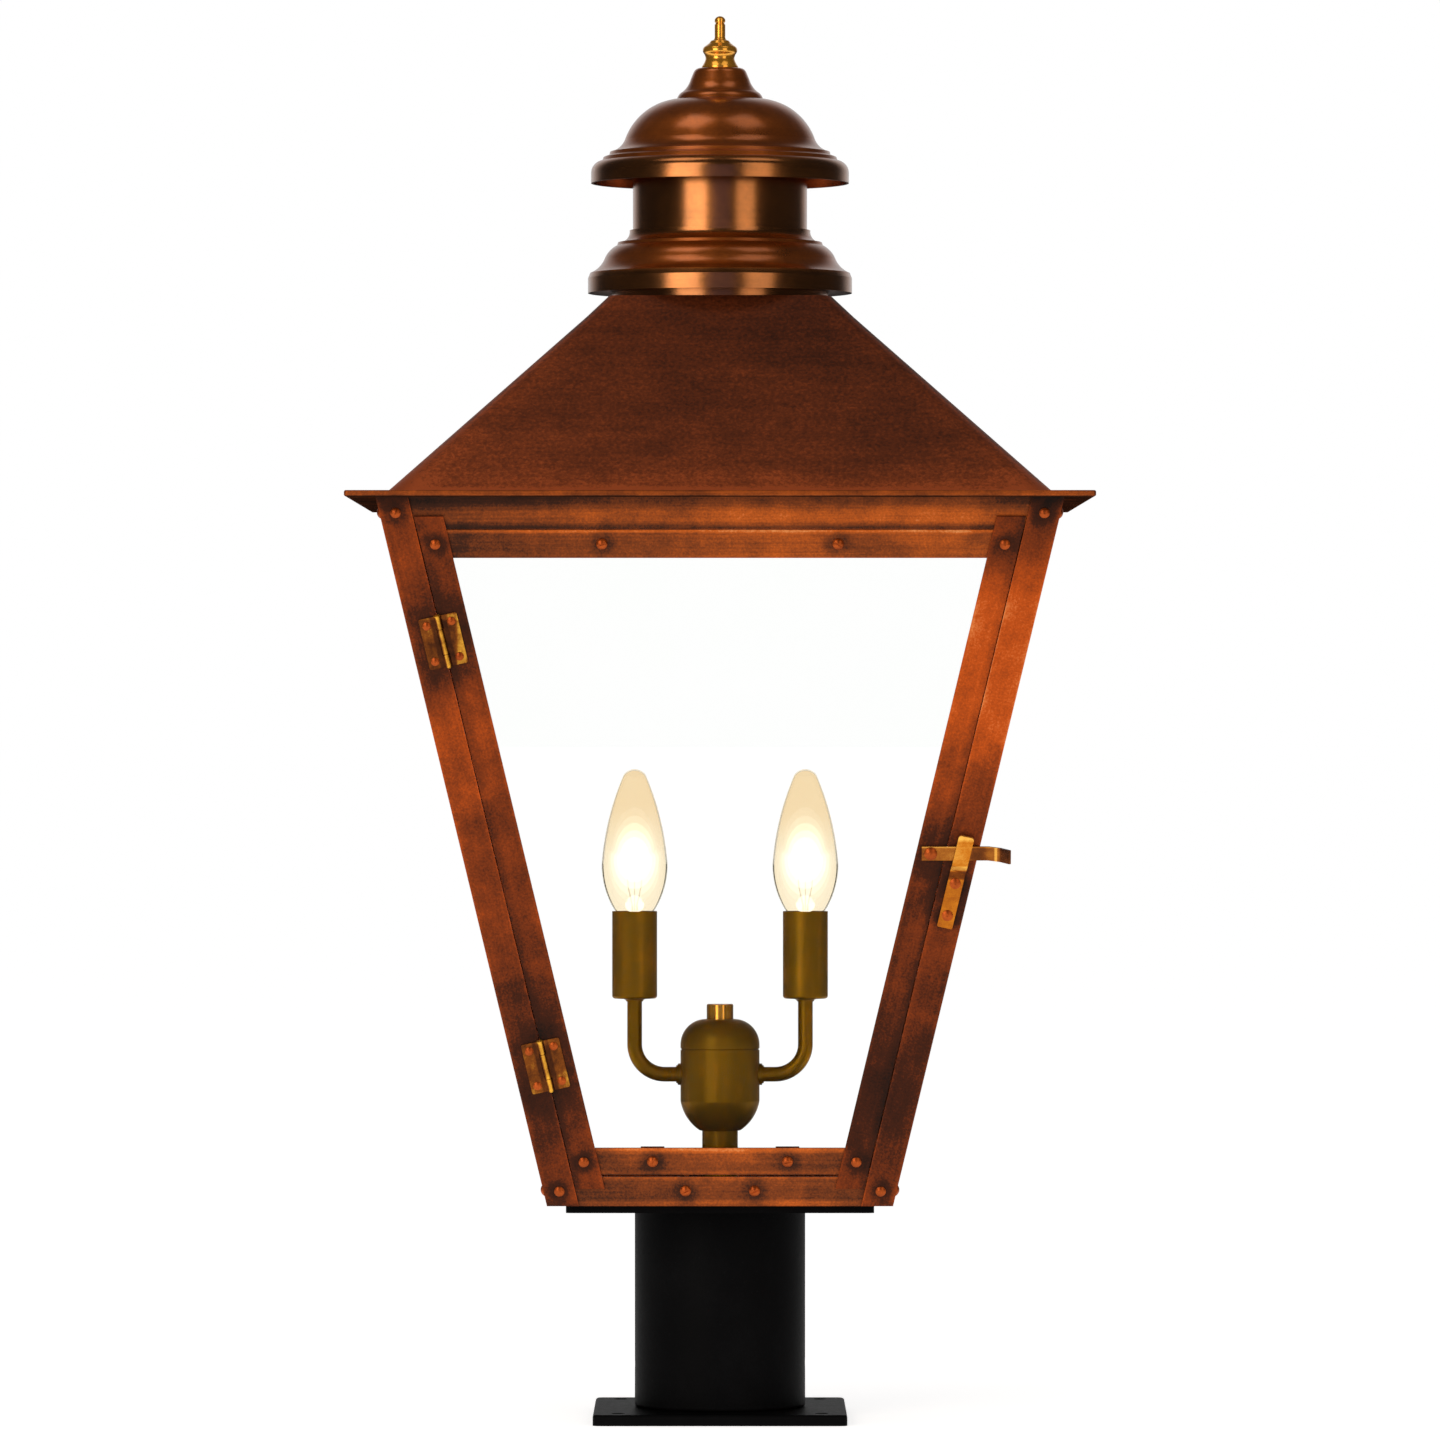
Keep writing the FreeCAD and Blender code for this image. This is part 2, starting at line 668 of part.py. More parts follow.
def frame_rivets():
    rivet = dome_rivet(FRAME_RIVET, 2 * SHEET)
    row = [placed(at(rivet, u, v), FRONT) for u, v in corner_rivet_spots()]
    group = []
    for i in range(4):
        group += [turned_about_z(r, 90 * i) for r in row]
    leaf_rivet = dome_rivet(HINGE_RIVET, HINGE_SHEET + SHEET)
    for z in HINGE_HEIGHTS:
        for x, y in hinge_rivet_spots(-1):
            group.append(placed(at(leaf_rivet, x, y, HINGE_SHEET), hinge_place(z)))
    return group


def sill_screws():
    screw = slotted_screw(DOOR_SCREW, 3 * SHEET + PAN_GAP * COS_LEAN, SILL_SLOT_TURN)
    row = [placed(at(screw, u, v, -SHEET), FRONT) for u, v in sill_screw_spots()]
    return [s for i in range(4) for s in [turned_about_z(r, 90 * i) for r in row]]


# ---------------------------------------------------------------- glazing
def side_pane():
    """A fixed pane behind header, sill and posts, in the front face's place."""
    z0 = PAN_LOW + PAN_WALL + CLIP_CLEARANCE
    z1 = HEADER_LOW + PANE_LAP
    back = GLASS_FRONT - GLASS
    inset = -back / COS_LEAN + PANE_CORNER_GAP
    return placed(slab(z0, z1, inset, back, GLASS_FRONT), FRONT)


def clip(up):
    """A Z-shaped spring clip: foot on the rail beyond the glass, tongue over its back."""
    t = CLIP_SHEET
    back = -GLASS - CLIP_CLEARANCE
    start = CLIP_CLEARANCE
    points = [(start, 0), (start + CLIP_FOOT, 0), (start + CLIP_FOOT, -t), (start + t, -t),
              (start + t, back - t), (-CLIP_TONGUE, back - t), (-CLIP_TONGUE, back), (start, back)]
    face = polygon([(-CLIP_WIDTH / 2, up * v, n) for v, n in points])
    return face.extrude(V(CLIP_WIDTH, 0, 0))


def clip_at(u, z, up, n):
    return at(clip(up), u, slope(z), n)


def pane_clips():
    front_row = [clip_at(sx * TOP_SCREW_PITCH / 2, HEADER_LOW + PANE_LAP, 1, GLASS_FRONT) for sx in (-1, 1)]
    front_row += [sill_pane_clip(sx * BOTTOM_SCREW_PITCH / 2) for sx in (-1, 1)]
    row = [placed(c, FRONT) for c in front_row]
    return [turned_about_z(c, turn) for turn in (90, 180, 270) for c in row]


def sill_pane_clip(u):
    """The lower panes stand on the pan's wall; a hook over that wall holds the glass."""
    t = CLIP_SHEET
    inner = GLASS_FRONT - GLASS - CLIP_CLEARANCE
    v0 = slope(PAN_LOW + PAN_WALL)
    left = u - CLIP_WIDTH / 2
    right = u + CLIP_WIDTH / 2
    low = v0 - HOOK_BELOW
    foot = box(left, right, low, v0 + HOOK_ABOVE, inner - t, inner)
    wall_back = GLASS_FRONT - SHEET - PAN_GAP * COS_LEAN
    bridge = box(left, right, low, low + t, inner - t, wall_back)
    return fuse_all([foot, bridge])


# ---------------------------------------------------------------- door
def stile(side):
    edge = POST_FLANGE + SEAM
    low = BOTTOM_RAIL_LOW - STILE_LAP
    top = TOP_RAIL_TOP + STILE_LAP
    bar = strip(low, top, edge, edge + STILE_WIDTH, -SHEET, 0, side)
    for u, v in stile_rivet_spots():
        bar = bar.cut(hole(FRAME_RIVET[2], u, v, -2 * SHEET, 1))
    bar = placed(bar, DOOR_FACE)
    if side < 0:
        return bar.cut(hinge_holes(1))
    pivot = hole(PIVOT_DIA, pivot_u(), slope(LATCH_Z), -2 * SHEET, 2)
    return bar.cut(placed(pivot, DOOR_FACE))


def stile_rivet_spots():
    spots = []
    for z in ((TOP_RAIL_LOW + TOP_RAIL_TOP) / 2, (BOTTOM_RAIL_LOW + BOTTOM_RAIL_TOP) / 2):
        for side in (-1, 1):
            spots.append((side * (half_at(z) - POST_FLANGE - SEAM - STILE_WIDTH / 2), slope(z)))
    return spots


def door_rail(z0, z1, screw_pitch):
    rail = slab(z0, z1, POST_FLANGE + SEAM + RAIL_INSET, -2 * SHEET, -SHEET)
    v = slope((z0 + z1) / 2)
    for u in (-screw_pitch / 2, screw_pitch / 2):
        rail = rail.cut(hole(DOOR_SCREW[2], u, v, -3 * SHEET, 1))
    for u, w in stile_rivet_spots():
        rail = rail.cut(hole(FRAME_RIVET[2], u, w, -3 * SHEET, 1))
    return placed(rail, DOOR_FACE)


def door_glass():
    inset = POST_FLANGE + SEAM + DOOR_GLASS_INSET
    pane = slab(DOOR_GLASS_LOW, DOOR_GLASS_TOP, inset, GLASS_FRONT - GLASS, GLASS_FRONT)
    return placed(pane, DOOR_FACE)


def door_clip_rows():
    """Height of the glass edge, direction, screw pitch and screw height of each row."""
    return [(DOOR_GLASS_TOP, 1, TOP_SCREW_PITCH, (TOP_RAIL_LOW + TOP_RAIL_TOP) / 2),
            (DOOR_GLASS_LOW, -1, BOTTOM_SCREW_PITCH, (BOTTOM_RAIL_LOW + BOTTOM_RAIL_TOP) / 2)]


def door_clips():
    clips = []
    for z, up, pitch, screw_z in door_clip_rows():
        for u in (-pitch / 2, pitch / 2):
            body = clip_at(u, z, up, GLASS_FRONT)
            body = body.cut(hole(DOOR_SCREW[2], u, slope(screw_z), -4 * SHEET, 1))
            clips.append(placed(body, DOOR_FACE))
    return clips


def door_screws():
    screws = []
    turns = iter(SLOT_TURNS)
    for z, up, pitch, screw_z in door_clip_rows():
        for u in (-pitch / 2, pitch / 2):
            screw = slotted_screw(DOOR_SCREW, SHEET + CLIP_SHEET, next(turns))
            screws.append(placed(at(screw, u, slope(screw_z), -SHEET), DOOR_FACE))
    return screws


def door_rivets():
    rivet = dome_rivet(FRAME_RIVET, 2 * SHEET)
    group = [placed(at(rivet, u, v), DOOR_FACE) for u, v in stile_rivet_spots()]
    leaf_rivet = dome_rivet(HINGE_RIVET, HINGE_SHEET + SHEET)
    for z in HINGE_HEIGHTS:
        for x, y in hinge_rivet_spots(1):
            group.append(placed(at(leaf_rivet, x, y, HINGE_SHEET + DOOR_PROUD), hinge_place(z)))
    return group


# ---------------------------------------------------------------- hinges
def hinge_place(z):
    """Hinge frame: y along the left seam, z outwards, on the frame's outer surface."""
    mid = V(-(half_at(z) - POST_FLANGE - SEAM / 2), slope(z), 0)
    return FRONT.multiply(FreeCAD.Placement(mid, FreeCAD.Rotation(UP, EDGE_TILT)))


def hinge_rivet_spots(side):
    x = side * HINGE_RIVET_OUT
    y = HINGE_LENGTH / 2 - HINGE_RIVET_END
    return [(x, -y), (x, y)]


def knuckle(y0, y1):
    return Part.makeCylinder(KNUCKLE_DIA / 2, y1 - y0, V(0, y0, HINGE_AXIS_OUT), V(0, 1, 0))


def hinge_leaf(side, lift, spans):
    """A leaf plate with a rolled knuckle on each of the given spans along the pin."""
    half = HINGE_LENGTH / 2
    near = KNUCKLE_DIA / 2 + KNUCKLE_GAP
    body = box(near, HINGE_LEAF, -half, half, lift, lift + HINGE_SHEET)
    body = body.makeFillet(HINGE_CORNER_R, [e for e in body.Edges
                                              if abs(e.BoundBox.XMin - HINGE_LEAF) < 0.01
                                              and e.BoundBox.ZLength > 0.1])
    pieces = [body]
    for y0, y1 in spans:
        pieces.append(box(0, near + HINGE_SHEET, y0, y1, lift, lift + HINGE_SHEET))
        pieces.append(box(0, KNUCKLE_DIA / 2, y0, y1, lift, HINGE_AXIS_OUT))
        pieces.append(knuckle(y0, y1))
    leaf = fuse_all(pieces)
    bore_r = HINGE_PIN_DIA / 2 + HINGE_PIN_RUN
    leaf = leaf.cut(Part.makeCylinder(bore_r, HINGE_LENGTH + 2, V(0, -half - 1, HINGE_AXIS_OUT), V(0, 1, 0)))
    for x, y in hinge_rivet_spots(1):
        leaf = leaf.cut(hole(HINGE_RIVET[2], x, y, lift - 1, lift + 3))
    return leaf if side > 0 else leaf.mirror(V(0, 0, 0), V(1, 0, 0))


def hinge_frame_leaves():
    half = HINGE_LENGTH / 2
    spans = [(-half, -half + END_KNUCKLE), (half - END_KNUCKLE, half)]
    leaf = hinge_leaf(-1, 0.0, spans)
    return [placed(leaf, hinge_place(z)) for z in HINGE_HEIGHTS]


def hinge_door_leaves():
    half = HINGE_LENGTH / 2 - END_KNUCKLE - KNUCKLE_GAP
    leaf = hinge_leaf(1, DOOR_PROUD, [(-half, half)])
    return [placed(leaf, hinge_place(z)) for z in HINGE_HEIGHTS]


def hinge_pins():
    """Pins with a button head on top, peened a little below the last knuckle."""
    half = HINGE_LENGTH / 2
    r = HINGE_PIN_DIA / 2
    low = -half - HINGE_PIN_TAIL
    head_r = HINGE_PIN_HEAD[0] / 2
    side = HINGE_PIN_HEAD[1] / 3
    pin = turned((0, low), (r, low), (r, half), (head_r, half), (head_r, half + side),
                 dome(head_r, half + side, HINGE_PIN_HEAD[1] - side))
    pin.rotate(V(0, 0, 0), V(1, 0, 0), -90)
    pin.translate(V(0, 0, HINGE_AXIS_OUT))
    return [placed(pin, hinge_place(z)) for z in HINGE_HEIGHTS]


# ---------------------------------------------------------------- latch
def pivot_u():
    return half_at(LATCH_Z) - POST_FLANGE - SEAM - STILE_WIDTH / 2


def bent_strip(path, sheet, width):
    """A strip folded along a path of (along, out) points, its sheet on the outer side; it runs
    along Y with its width across X."""
    turns = [math.atan2(b[1] - a[1], b[0] - a[0]) for a, b in zip(path, path[1:])]
    outer = []
    for (along, out), before, after in zip(path, turns[:1] + turns, turns + turns[-1:]):
        middle = (before + after) / 2
        reach = sheet / math.cos((after - before) / 2)
        outer.append((along - reach * math.sin(middle), out + reach * math.cos(middle)))
    face = polygon([(-width / 2, along, out) for along, out in path + outer[::-1]])
    return face.extrude(V(width, 0, 0))


def folds(body, low, high):
    """The fold lines of a bent strip between two distances along it."""
    return [e for e in body.Edges if e.BoundBox.YLength < 0.01 and e.BoundBox.ZLength < 0.01
            and low < e.BoundBox.YMin < high]


def end_corners(body, width, low, high):
    """The short edges at the corners of a bent strip between two distances along it."""
    corners = [e for e in body.Edges if e.BoundBox.XLength < 0.01
               and abs(abs(e.BoundBox.XMin) - width / 2) < 0.01]
    return [e for e in corners if e.BoundBox.YMin > low and e.BoundBox.YMax < high]


def latch_strap():
    """A flat brass bar that swings on the door's stile, its end folded out as a finger tab."""
    bend = half_at(LATCH_Z) + TAB_OVERHANG - pivot_u()
    path = [(-LATCH_TAIL, 0.0), (bend, 0.0)]
    for length, angle in zip(TAB_LENGTHS, TAB_ANGLES):
        along, out = path[-1]
        turn = math.radians(angle)
        path.append((along + length * math.cos(turn), out + length * math.sin(turn)))
    strap = bent_strip(path, LATCH_SHEET, LATCH_BAR)
    strap = strap.makeFillet(BEND_R, folds(strap, bend - LATCH_SHEET, path[-2][0] + 0.01))
    strap = strap.cut(hole(PIVOT_DIA, 0, 0, -1, LATCH_SHEET + 1))
    strap.rotate(V(0, 0, 0), UP, -90)
    return placed(at(strap, pivot_u(), slope(LATCH_Z), LATCH_STANDOFF), DOOR_FACE)


def latch_pivot():
    """The shouldered rivet that the strap turns on, with a wide domed head."""
    stack = LATCH_STANDOFF + LATCH_SHEET + PIVOT_RUN
    r = PIVOT_DIA / 2
    run_r = r + HOLE_CLEARANCE - PIVOT_RUN
    head_r = PIVOT_HEAD[0] / 2
    side = stack + PIVOT_HEAD[1] / 3
    washer_r = r + LATCH_SHEET
    tail = -SHEET - TAIL_HEIGHT
    washer_top = LATCH_STANDOFF - PIVOT_RUN
    pivot = turned((0, tail), (washer_r, tail), (washer_r, -SHEET), (r, -SHEET), (r, 0), (washer_r, 0),
                   (washer_r, washer_top), (run_r, washer_top), (run_r, stack), (head_r, stack),
                   (head_r, side), dome(head_r, side, stack + PIVOT_HEAD[1] - side))
    return placed(at(pivot, pivot_u(), slope(LATCH_Z)), DOOR_FACE)


def keeper_place():
    """Keeper frame: y up along the middle of the right post's flange, level with the strap."""
    mid = V(half_at(LATCH_Z) - POST_FLANGE / 2, slope(LATCH_Z), 0)
    return FRONT.multiply(FreeCAD.Placement(mid, FreeCAD.Rotation(UP, -EDGE_TILT)))


def keeper():
    """A joggled strip on the right post: open at the top, the strap drops in behind it."""
    out = KEEPER_STANDOFF
    top = KEEPER_ABOVE
    path = [(-KEEPER_BELOW, 0.0), (-KEEPER_BEND_LOW, 0.0), (-KEEPER_BEND_TOP, out),
            (top - KEEPER_LIP, out), (top, out + KEEPER_LIP_OUT)]
    body = bent_strip(path, KEEPER_SHEET, KEEPER_WIDTH)
    upper = end_corners(body, KEEPER_WIDTH, top - KEEPER_LIP / 2, top + KEEPER_SHEET)
    body = body.makeFillet(KEEPER_TOP_R, upper)
    lower = end_corners(body, KEEPER_WIDTH, -KEEPER_BELOW - KEEPER_SHEET, KEEPER_SHEET - KEEPER_BELOW)
    body = body.makeFillet(KEEPER_LOW_R, lower)
    body = body.makeFillet(BEND_R, folds(body, -KEEPER_BEND_LOW - KEEPER_SHEET, -KEEPER_BEND_TOP + 0.01))
    for below in KEEPER_RIVETS_BELOW:
        body = body.cut(hole(KEEPER_RIVET[2], 0, -below, -1, KEEPER_SHEET + 1))
    return placed(body, keeper_place())


def keeper_rivet_holes():
    drills = [hole(KEEPER_RIVET[2], 0, -below, -2 * SHEET, 1) for below in KEEPER_RIVETS_BELOW]
    return placed(Part.Compound(drills), keeper_place())


def keeper_rivets():
    rivet = dome_rivet(KEEPER_RIVET, KEEPER_SHEET + SHEET)
    return [placed(at(rivet, 0, -below, KEEPER_SHEET), keeper_place()) for below in KEEPER_RIVETS_BELOW]


# ---------------------------------------------------------------- eave and roof
def roof_screw_points():
    a = ROOF_SCREW_PITCH / 2
    row = [V(-a, -ROOF_SCREW_LINE, 0), V(a, -ROOF_SCREW_LINE, 0)]
    return [FreeCAD.Rotation(UP, 90 * i).multVec(p) for i in range(4) for p in row]


def eave_plate():
    """A flat square ring between the body and the roof, its edge hemmed round."""
    ring = rounded_plate(2 * (BODY_TOP_HALF + EAVE_OVERHANG), EAVE_CORNER_R, BODY_TOP, EAVE_THICK)
    ring = ring.makeFillet(EAVE_EDGE_R, [e for e in ring.Edges if e.BoundBox.ZLength < 0.01])
    hollow = ROOF_SCREW_LINE - EAVE_SCREW_EDGE
    ring = ring.cut(box(-hollow, hollow, -hollow, hollow, BODY_TOP - 1, ROOF_LOW + 1))
    for p in roof_screw_points():
        ring = ring.cut(rod(ROOF_SCREW_DIA / 2 + HOLE_CLEARANCE, BODY_TOP - 1, ROOF_LOW + 1, p.x, p.y))
    return ring


def roof_body(inset, low, top):
    """The filled hipped roof, straight up to a slightly flatter shoulder below its deck."""
    break_z = ROOF_TOP - ROOF_BREAK_DROP

    def ring(half, radius, z):
        return rounded_square(half - inset, radius - inset, z)

    lower = Part.makeLoft([ring(ROOF_BASE_HALF, ROOF_BASE_R, low),
                           ring(ROOF_BREAK_HALF, ROOF_TOP_R, break_z)], True, True)
    upper = Part.makeLoft([ring(ROOF_BREAK_HALF, ROOF_TOP_R, break_z),
                           ring(ROOF_TOP_HALF, ROOF_TOP_R, top)], True, True)
    return lower.fuse(upper).removeSplitter()


def roof():
    """A sheet roof with a flange turned in at its foot and a round opening in its deck."""
    flank = SHEET / math.sin(math.atan(ROOF_HEIGHT / (ROOF_BASE_HALF - ROOF_TOP_HALF)))
    shell = roof_body(0.0, ROOF_LOW, ROOF_TOP)
    shell = shell.cut(roof_body(flank, ROOF_LOW - 0.01, ROOF_TOP - SHEET))
    reach = ROOF_BASE_HALF - SHEET
    flange = rounded_plate(2 * reach, ROOF_BASE_R, ROOF_LOW, SHEET)
    inner = ROOF_SCREW_LINE - ROOF_SCREW_EDGE
    flange = flange.cut(box(-inner, inner, -inner, inner, ROOF_LOW - 1, ROOF_LOW + SHEET + 1))
    shell = fuse_all([shell, flange.common(roof_body(0.0, ROOF_LOW, ROOF_TOP))])
    shell = shell.cut(rod(NECK_R - SPUN_SHEET, ROOF_TOP - 2 * SHEET, ROOF_TOP + 1))
    drill_r = ROOF_SCREW_DIA / 2 + HOLE_CLEARANCE
    for p in roof_screw_points():
        shell = shell.cut(rod(drill_r, ROOF_LOW - 1, ROOF_LOW + SHEET + 1, p.x, p.y))
    return shell


def roof_screws():
    """Screws with nuts, clamping roof flange, eave plate and header lip."""
    group = []
    seat = ROOF_LOW + SHEET
    under = BODY_TOP - SHEET
    r = ROOF_SCREW_DIA / 2
    head_dia, head_height = ROOF_SCREW_HEAD
    flats, nut_height = ROOF_SCREW_NUT
    for p in roof_screw_points():
        shank = rod(r, under - nut_height - 1, seat + head_height / 2, p.x, p.y)
        head = rod(head_dia / 2, seat, seat + head_height, p.x, p.y)
        group.append(fuse_all([head, shank]))
        group.append(hexagon(flats, under - nut_height, under, r + THREAD_GAP, p.x, p.y))
    return group


# ---------------------------------------------------------------- chimney
def chimney_neck():
    """A rolled tube with a foot flange that sits on the roof deck."""
    wall = tube(NECK_R, NECK_R - SPUN_SHEET, ROOF_TOP, NECK_TOP)
    foot = tube(NECK_R + NECK_FOOT, NECK_R - SPUN_SHEET, ROOF_TOP, ROOF_TOP + SPUN_SHEET)
    return fuse_all([wall, foot])


def on_flank(top, foot):
    """Points down a spun flank, given as shares of its run outwards and of its drop."""
    def point(across, down):
        return (top[0] + across * (foot[0] - top[0]), top[1] + down * (foot[1] - top[1]))
    return point


def chimney_collar():
    """A spun ogee ring round the foot of the neck, with a plain rim that overhangs."""
    t = SPUN_SHEET
    rim = ROOF_TOP + COLLAR_FOOT_HEIGHT
    bore = NECK_R + HOLE_CLEARANCE
    top = (bore + COLLAR_LIP, rim + COLLAR_RIM + COLLAR_OGEE)
    shoulder = (COLLAR_R, rim + COLLAR_RIM)
    at_share = on_flank(top, shoulder)
    shell = spun(t, rim, top,
                 at_share(0.08, 0.19) + at_share(0.28, 0.25), at_share(0.30, 0.31),
                 at_share(0.41, 0.37) + at_share(0.61, 0.61),
                 at_share(0.79, 0.81) + at_share(0.95, 0.89), shoulder, (COLLAR_R, rim + 0.1))
    floor = tube(COLLAR_R - t / 2, COLLAR_FOOT_R - t, rim, rim + t)
    foot = tube(COLLAR_FOOT_R, COLLAR_FOOT_R - t, ROOF_TOP, rim + t)
    return fuse_all([shell, floor, foot]).cut(rod(bore, ROOF_TOP - 1, top[1] + 1))


def chimney_bridge():
    """A strap across the neck that holds the centre rod, its ends turned down and soldered."""
    inner = NECK_R - SPUN_SHEET
    w = BRIDGE_WIDTH / 2
    z = BRIDGE_LOW
    strap = box(-inner, inner, -w, w, z, z + BRIDGE_SHEET)
    strap = strap.common(rod(inner, z - 1, z + BRIDGE_SHEET + 1))
    ends = tube(inner, inner - BRIDGE_SHEET, z - BRIDGE_TAB, z + BRIDGE_SHEET / 2)
    ends = ends.common(box(-inner, inner, -w, w, z - BRIDGE_TAB, z + BRIDGE_SHEET / 2))
    bridge = fuse_all([strap] + ends.Solids)
    return bridge.cut(rod(ROD_DIA / 2 + HOLE_CLEARANCE, z - 1, z + BRIDGE_SHEET + 1))


def centre_rod():
    return rod(ROD_DIA / 2, BRIDGE_LOW - ROD_TAIL, FINIAL_LOW + FINIAL_THREAD - THREAD_GAP)


def rod_nuts():
    """Two nuts lock the rod to the bridge; one under the crown carries the cap."""
    flats, height = ROD_NUT
    crown = CAP_CROWN - SPUN_SHEET
    spots = [BRIDGE_LOW - height, BRIDGE_LOW + BRIDGE_SHEET, crown - height]
    return [hexagon(flats, z, z + height, ROD_DIA / 2 + THREAD_GAP) for z in spots]


def chimney_cap():
    """A spun cap: domed crown, stepped flare and a plain vertical brim, open below."""
    crown = (CAP_CROWN_DIA / 2, CAP_CROWN)
    shoulder = (CAP_R, CAP_CROWN - CAP_DOME)
    at_share = on_flank(crown, shoulder)
    shell = spun(SPUN_SHEET, CAP_LOW, crown,
                 at_share(0.412, 0.193) + at_share(0.618, 0.552),
                 at_share(0.675, 0.648) + at_share(0.785, 0.714), at_share(0.794, 0.755),
                 at_share(0.860, 0.786), at_share(0.873, 0.833),
                 at_share(0.969, 0.891) + shoulder, (CAP_R, CAP_LOW + 0.1))
    return shell.cut(rod(ROD_DIA / 2 + HOLE_CLEARANCE, CAP_CROWN - 2 * SPUN_SHEET, CAP_CROWN + 1))


def finial_seat():
    """A spun boss that flares down on to the cap's crown, under the finial."""
    z = CAP_CROWN
    r = SEAT_DIA / 2
    top = z + SEAT_HEIGHT
    body = turned(
        (0, z), (r, z), (r - 0.9, z + 2.0, r - 2.4, z + 3.4), (r - 3.0, z + 3.8),
        (r - 5.7, z + 7.0, r - 7.0, z + 10.0), (r - 8.6, top - 2.1), (r - 10.0, top - 0.5, r - 12.3, top),
        (0, top))
    return body.cut(rod(ROD_DIA / 2 + HOLE_CLEARANCE, z - 1, top + 1))


def finial():
    """A turned and polished knob screwed down on the centre rod."""
    z = FINIAL_LOW
    tip = FINIAL_LOW + FINIAL_HEIGHT
    body = turned(
        (0, z), (9.4, z), (9.4, z + 0.9), (8.4, z + 2.4, 7.5, z + 4.6),
        (7.6, z + 6.0, 8.3, z + 7.6), (8.9, z + 9.6, 7.6, z + 11.4), (5.6, z + 12.9), (4.6, z + 14.2),
        (3.1, z + 15.0, 2.75, z + 16.6), (2.75, tip - 4.4), (2.3, tip - 4.0), (2.3, tip - 3.4),
        (2.75, tip - 3.0), (2.75, tip - 1.8), dome(2.75, tip - 1.8, 1.8))
    return body.cut(rod(ROD_DIA / 2 + THREAD_GAP, z - 1, z + FINIAL_THREAD))


# ---------------------------------------------------------------- lamp cluster
def stem_top():
    return HUB_LOW + HUB_WALL + 5.0


def stem_pipe():
    low = PLATE_LOW - STEM_NUT[1] - STEM_TAIL
    return tube(STEM_DIA / 2, STEM_BORE_DIA / 2, low, stem_top())


def stem_locknuts():
    flats, height = STEM_NUT
    bore_r = STEM_DIA / 2 + THREAD_GAP
    seat = PAN_LOW + SHEET
    return [hexagon(flats, z, z + height, bore_r) for z in (PLATE_LOW - height, seat)]


def hub_body():
    """The lower cup of the cluster, drilled for the stem and both arms."""
    r = HUB_DIA / 2
    t = HUB_WALL
    z = HUB_LOW
    foot = STEM_DIA / 2 + 1.4
    outer = turned((0, z), (foot, z), (r * 0.85, z + 7.0, r, z + 15.2), (r, HUB_SEAM), (0, HUB_SEAM))
    inner = turned((0, z + t), (foot, z + t), (r * 0.85 - t, z + 7.8, r - t, z + 15.6),
                   (r - t, HUB_SEAM + 1), (0, HUB_SEAM + 1))
    cup = outer.cut(inner).cut(rod(STEM_DIA / 2 + THREAD_GAP, z - 1, z + 2 * t))
    drill = Part.makeCylinder(ARM_DIA / 2 + THREAD_GAP, 4 * r, V(-2 * r, 0, ARM_Z), V(1, 0, 0))
    return cup.cut(drill)


def hub_cover():
    """The domed lid of the cluster, with a fine groove where it meets the cup."""
    r = HUB_DIA / 2
    t = HUB_WALL
    z = HUB_SEAM
    top = HUB_TOP
    outer = turned((0, z), (r - 0.6, z), (r - 0.6, z + 0.5), (r, z + 0.9), (r, z + 3.0),
                   (r * 0.85, top - 4.7, 7.0, top), (0, top))
    inner = turned((0, z - 1), (r - t, z - 1), (r - t, z + 2.6), (r * 0.85 - t, top - 5.6, 6.4, top - t),
                   (0, top - t))
    return outer.cut(inner).cut(rod(NIPPLE_DIA / 2 + THREAD_GAP, top - 2 * t, top + 1))


def hub_nut():
    """A round nut on a nipple that draws the cover down."""
    dia, height = HUB_NUT
    head = rod(dia / 2, HUB_TOP, HUB_TOP + height)
    head = head.makeChamfer(0.4, [e for e in head.Edges if e.BoundBox.ZMin > HUB_TOP + height - 0.01])
    nipple = rod(NIPPLE_DIA / 2, stem_top(), HUB_TOP + 1)
    return fuse_all([head, nipple])


def arm_path(start_x):
    bend = LAMP_X - ARM_BEND_R
    k = ARM_BEND_R * math.sqrt(0.5)
    a = V(start_x, 0, ARM_Z)
    b = V(bend, 0, ARM_Z)
    mid = V(bend + k, 0, ARM_Z + ARM_BEND_R - k)
    c = V(LAMP_X, 0, ARM_Z + ARM_BEND_R)
    d = V(LAMP_X, 0, COVER_LOW + SOCKET_FLOOR - 1.5)
    return Part.Wire([Part.LineSegment(a, b).toShape(), Part.Arc(b, mid, c).toShape(),
                      Part.LineSegment(c, d).toShape()])


def swept(radius, path):
    start = path.Edges[0].Vertexes[0].Point
    ring = Part.Wire([Part.Circle(start, V(1, 0, 0), radius).toShape()])
    return path.makePipeShell([ring], True, False)


def arm_seat(x, size):
    """A disc on the horizontal run of an arm that starts at x."""
    dia, width = size
    return Part.makeCylinder(dia / 2, width, V(x, 0, ARM_Z), V(1, 0, 0))


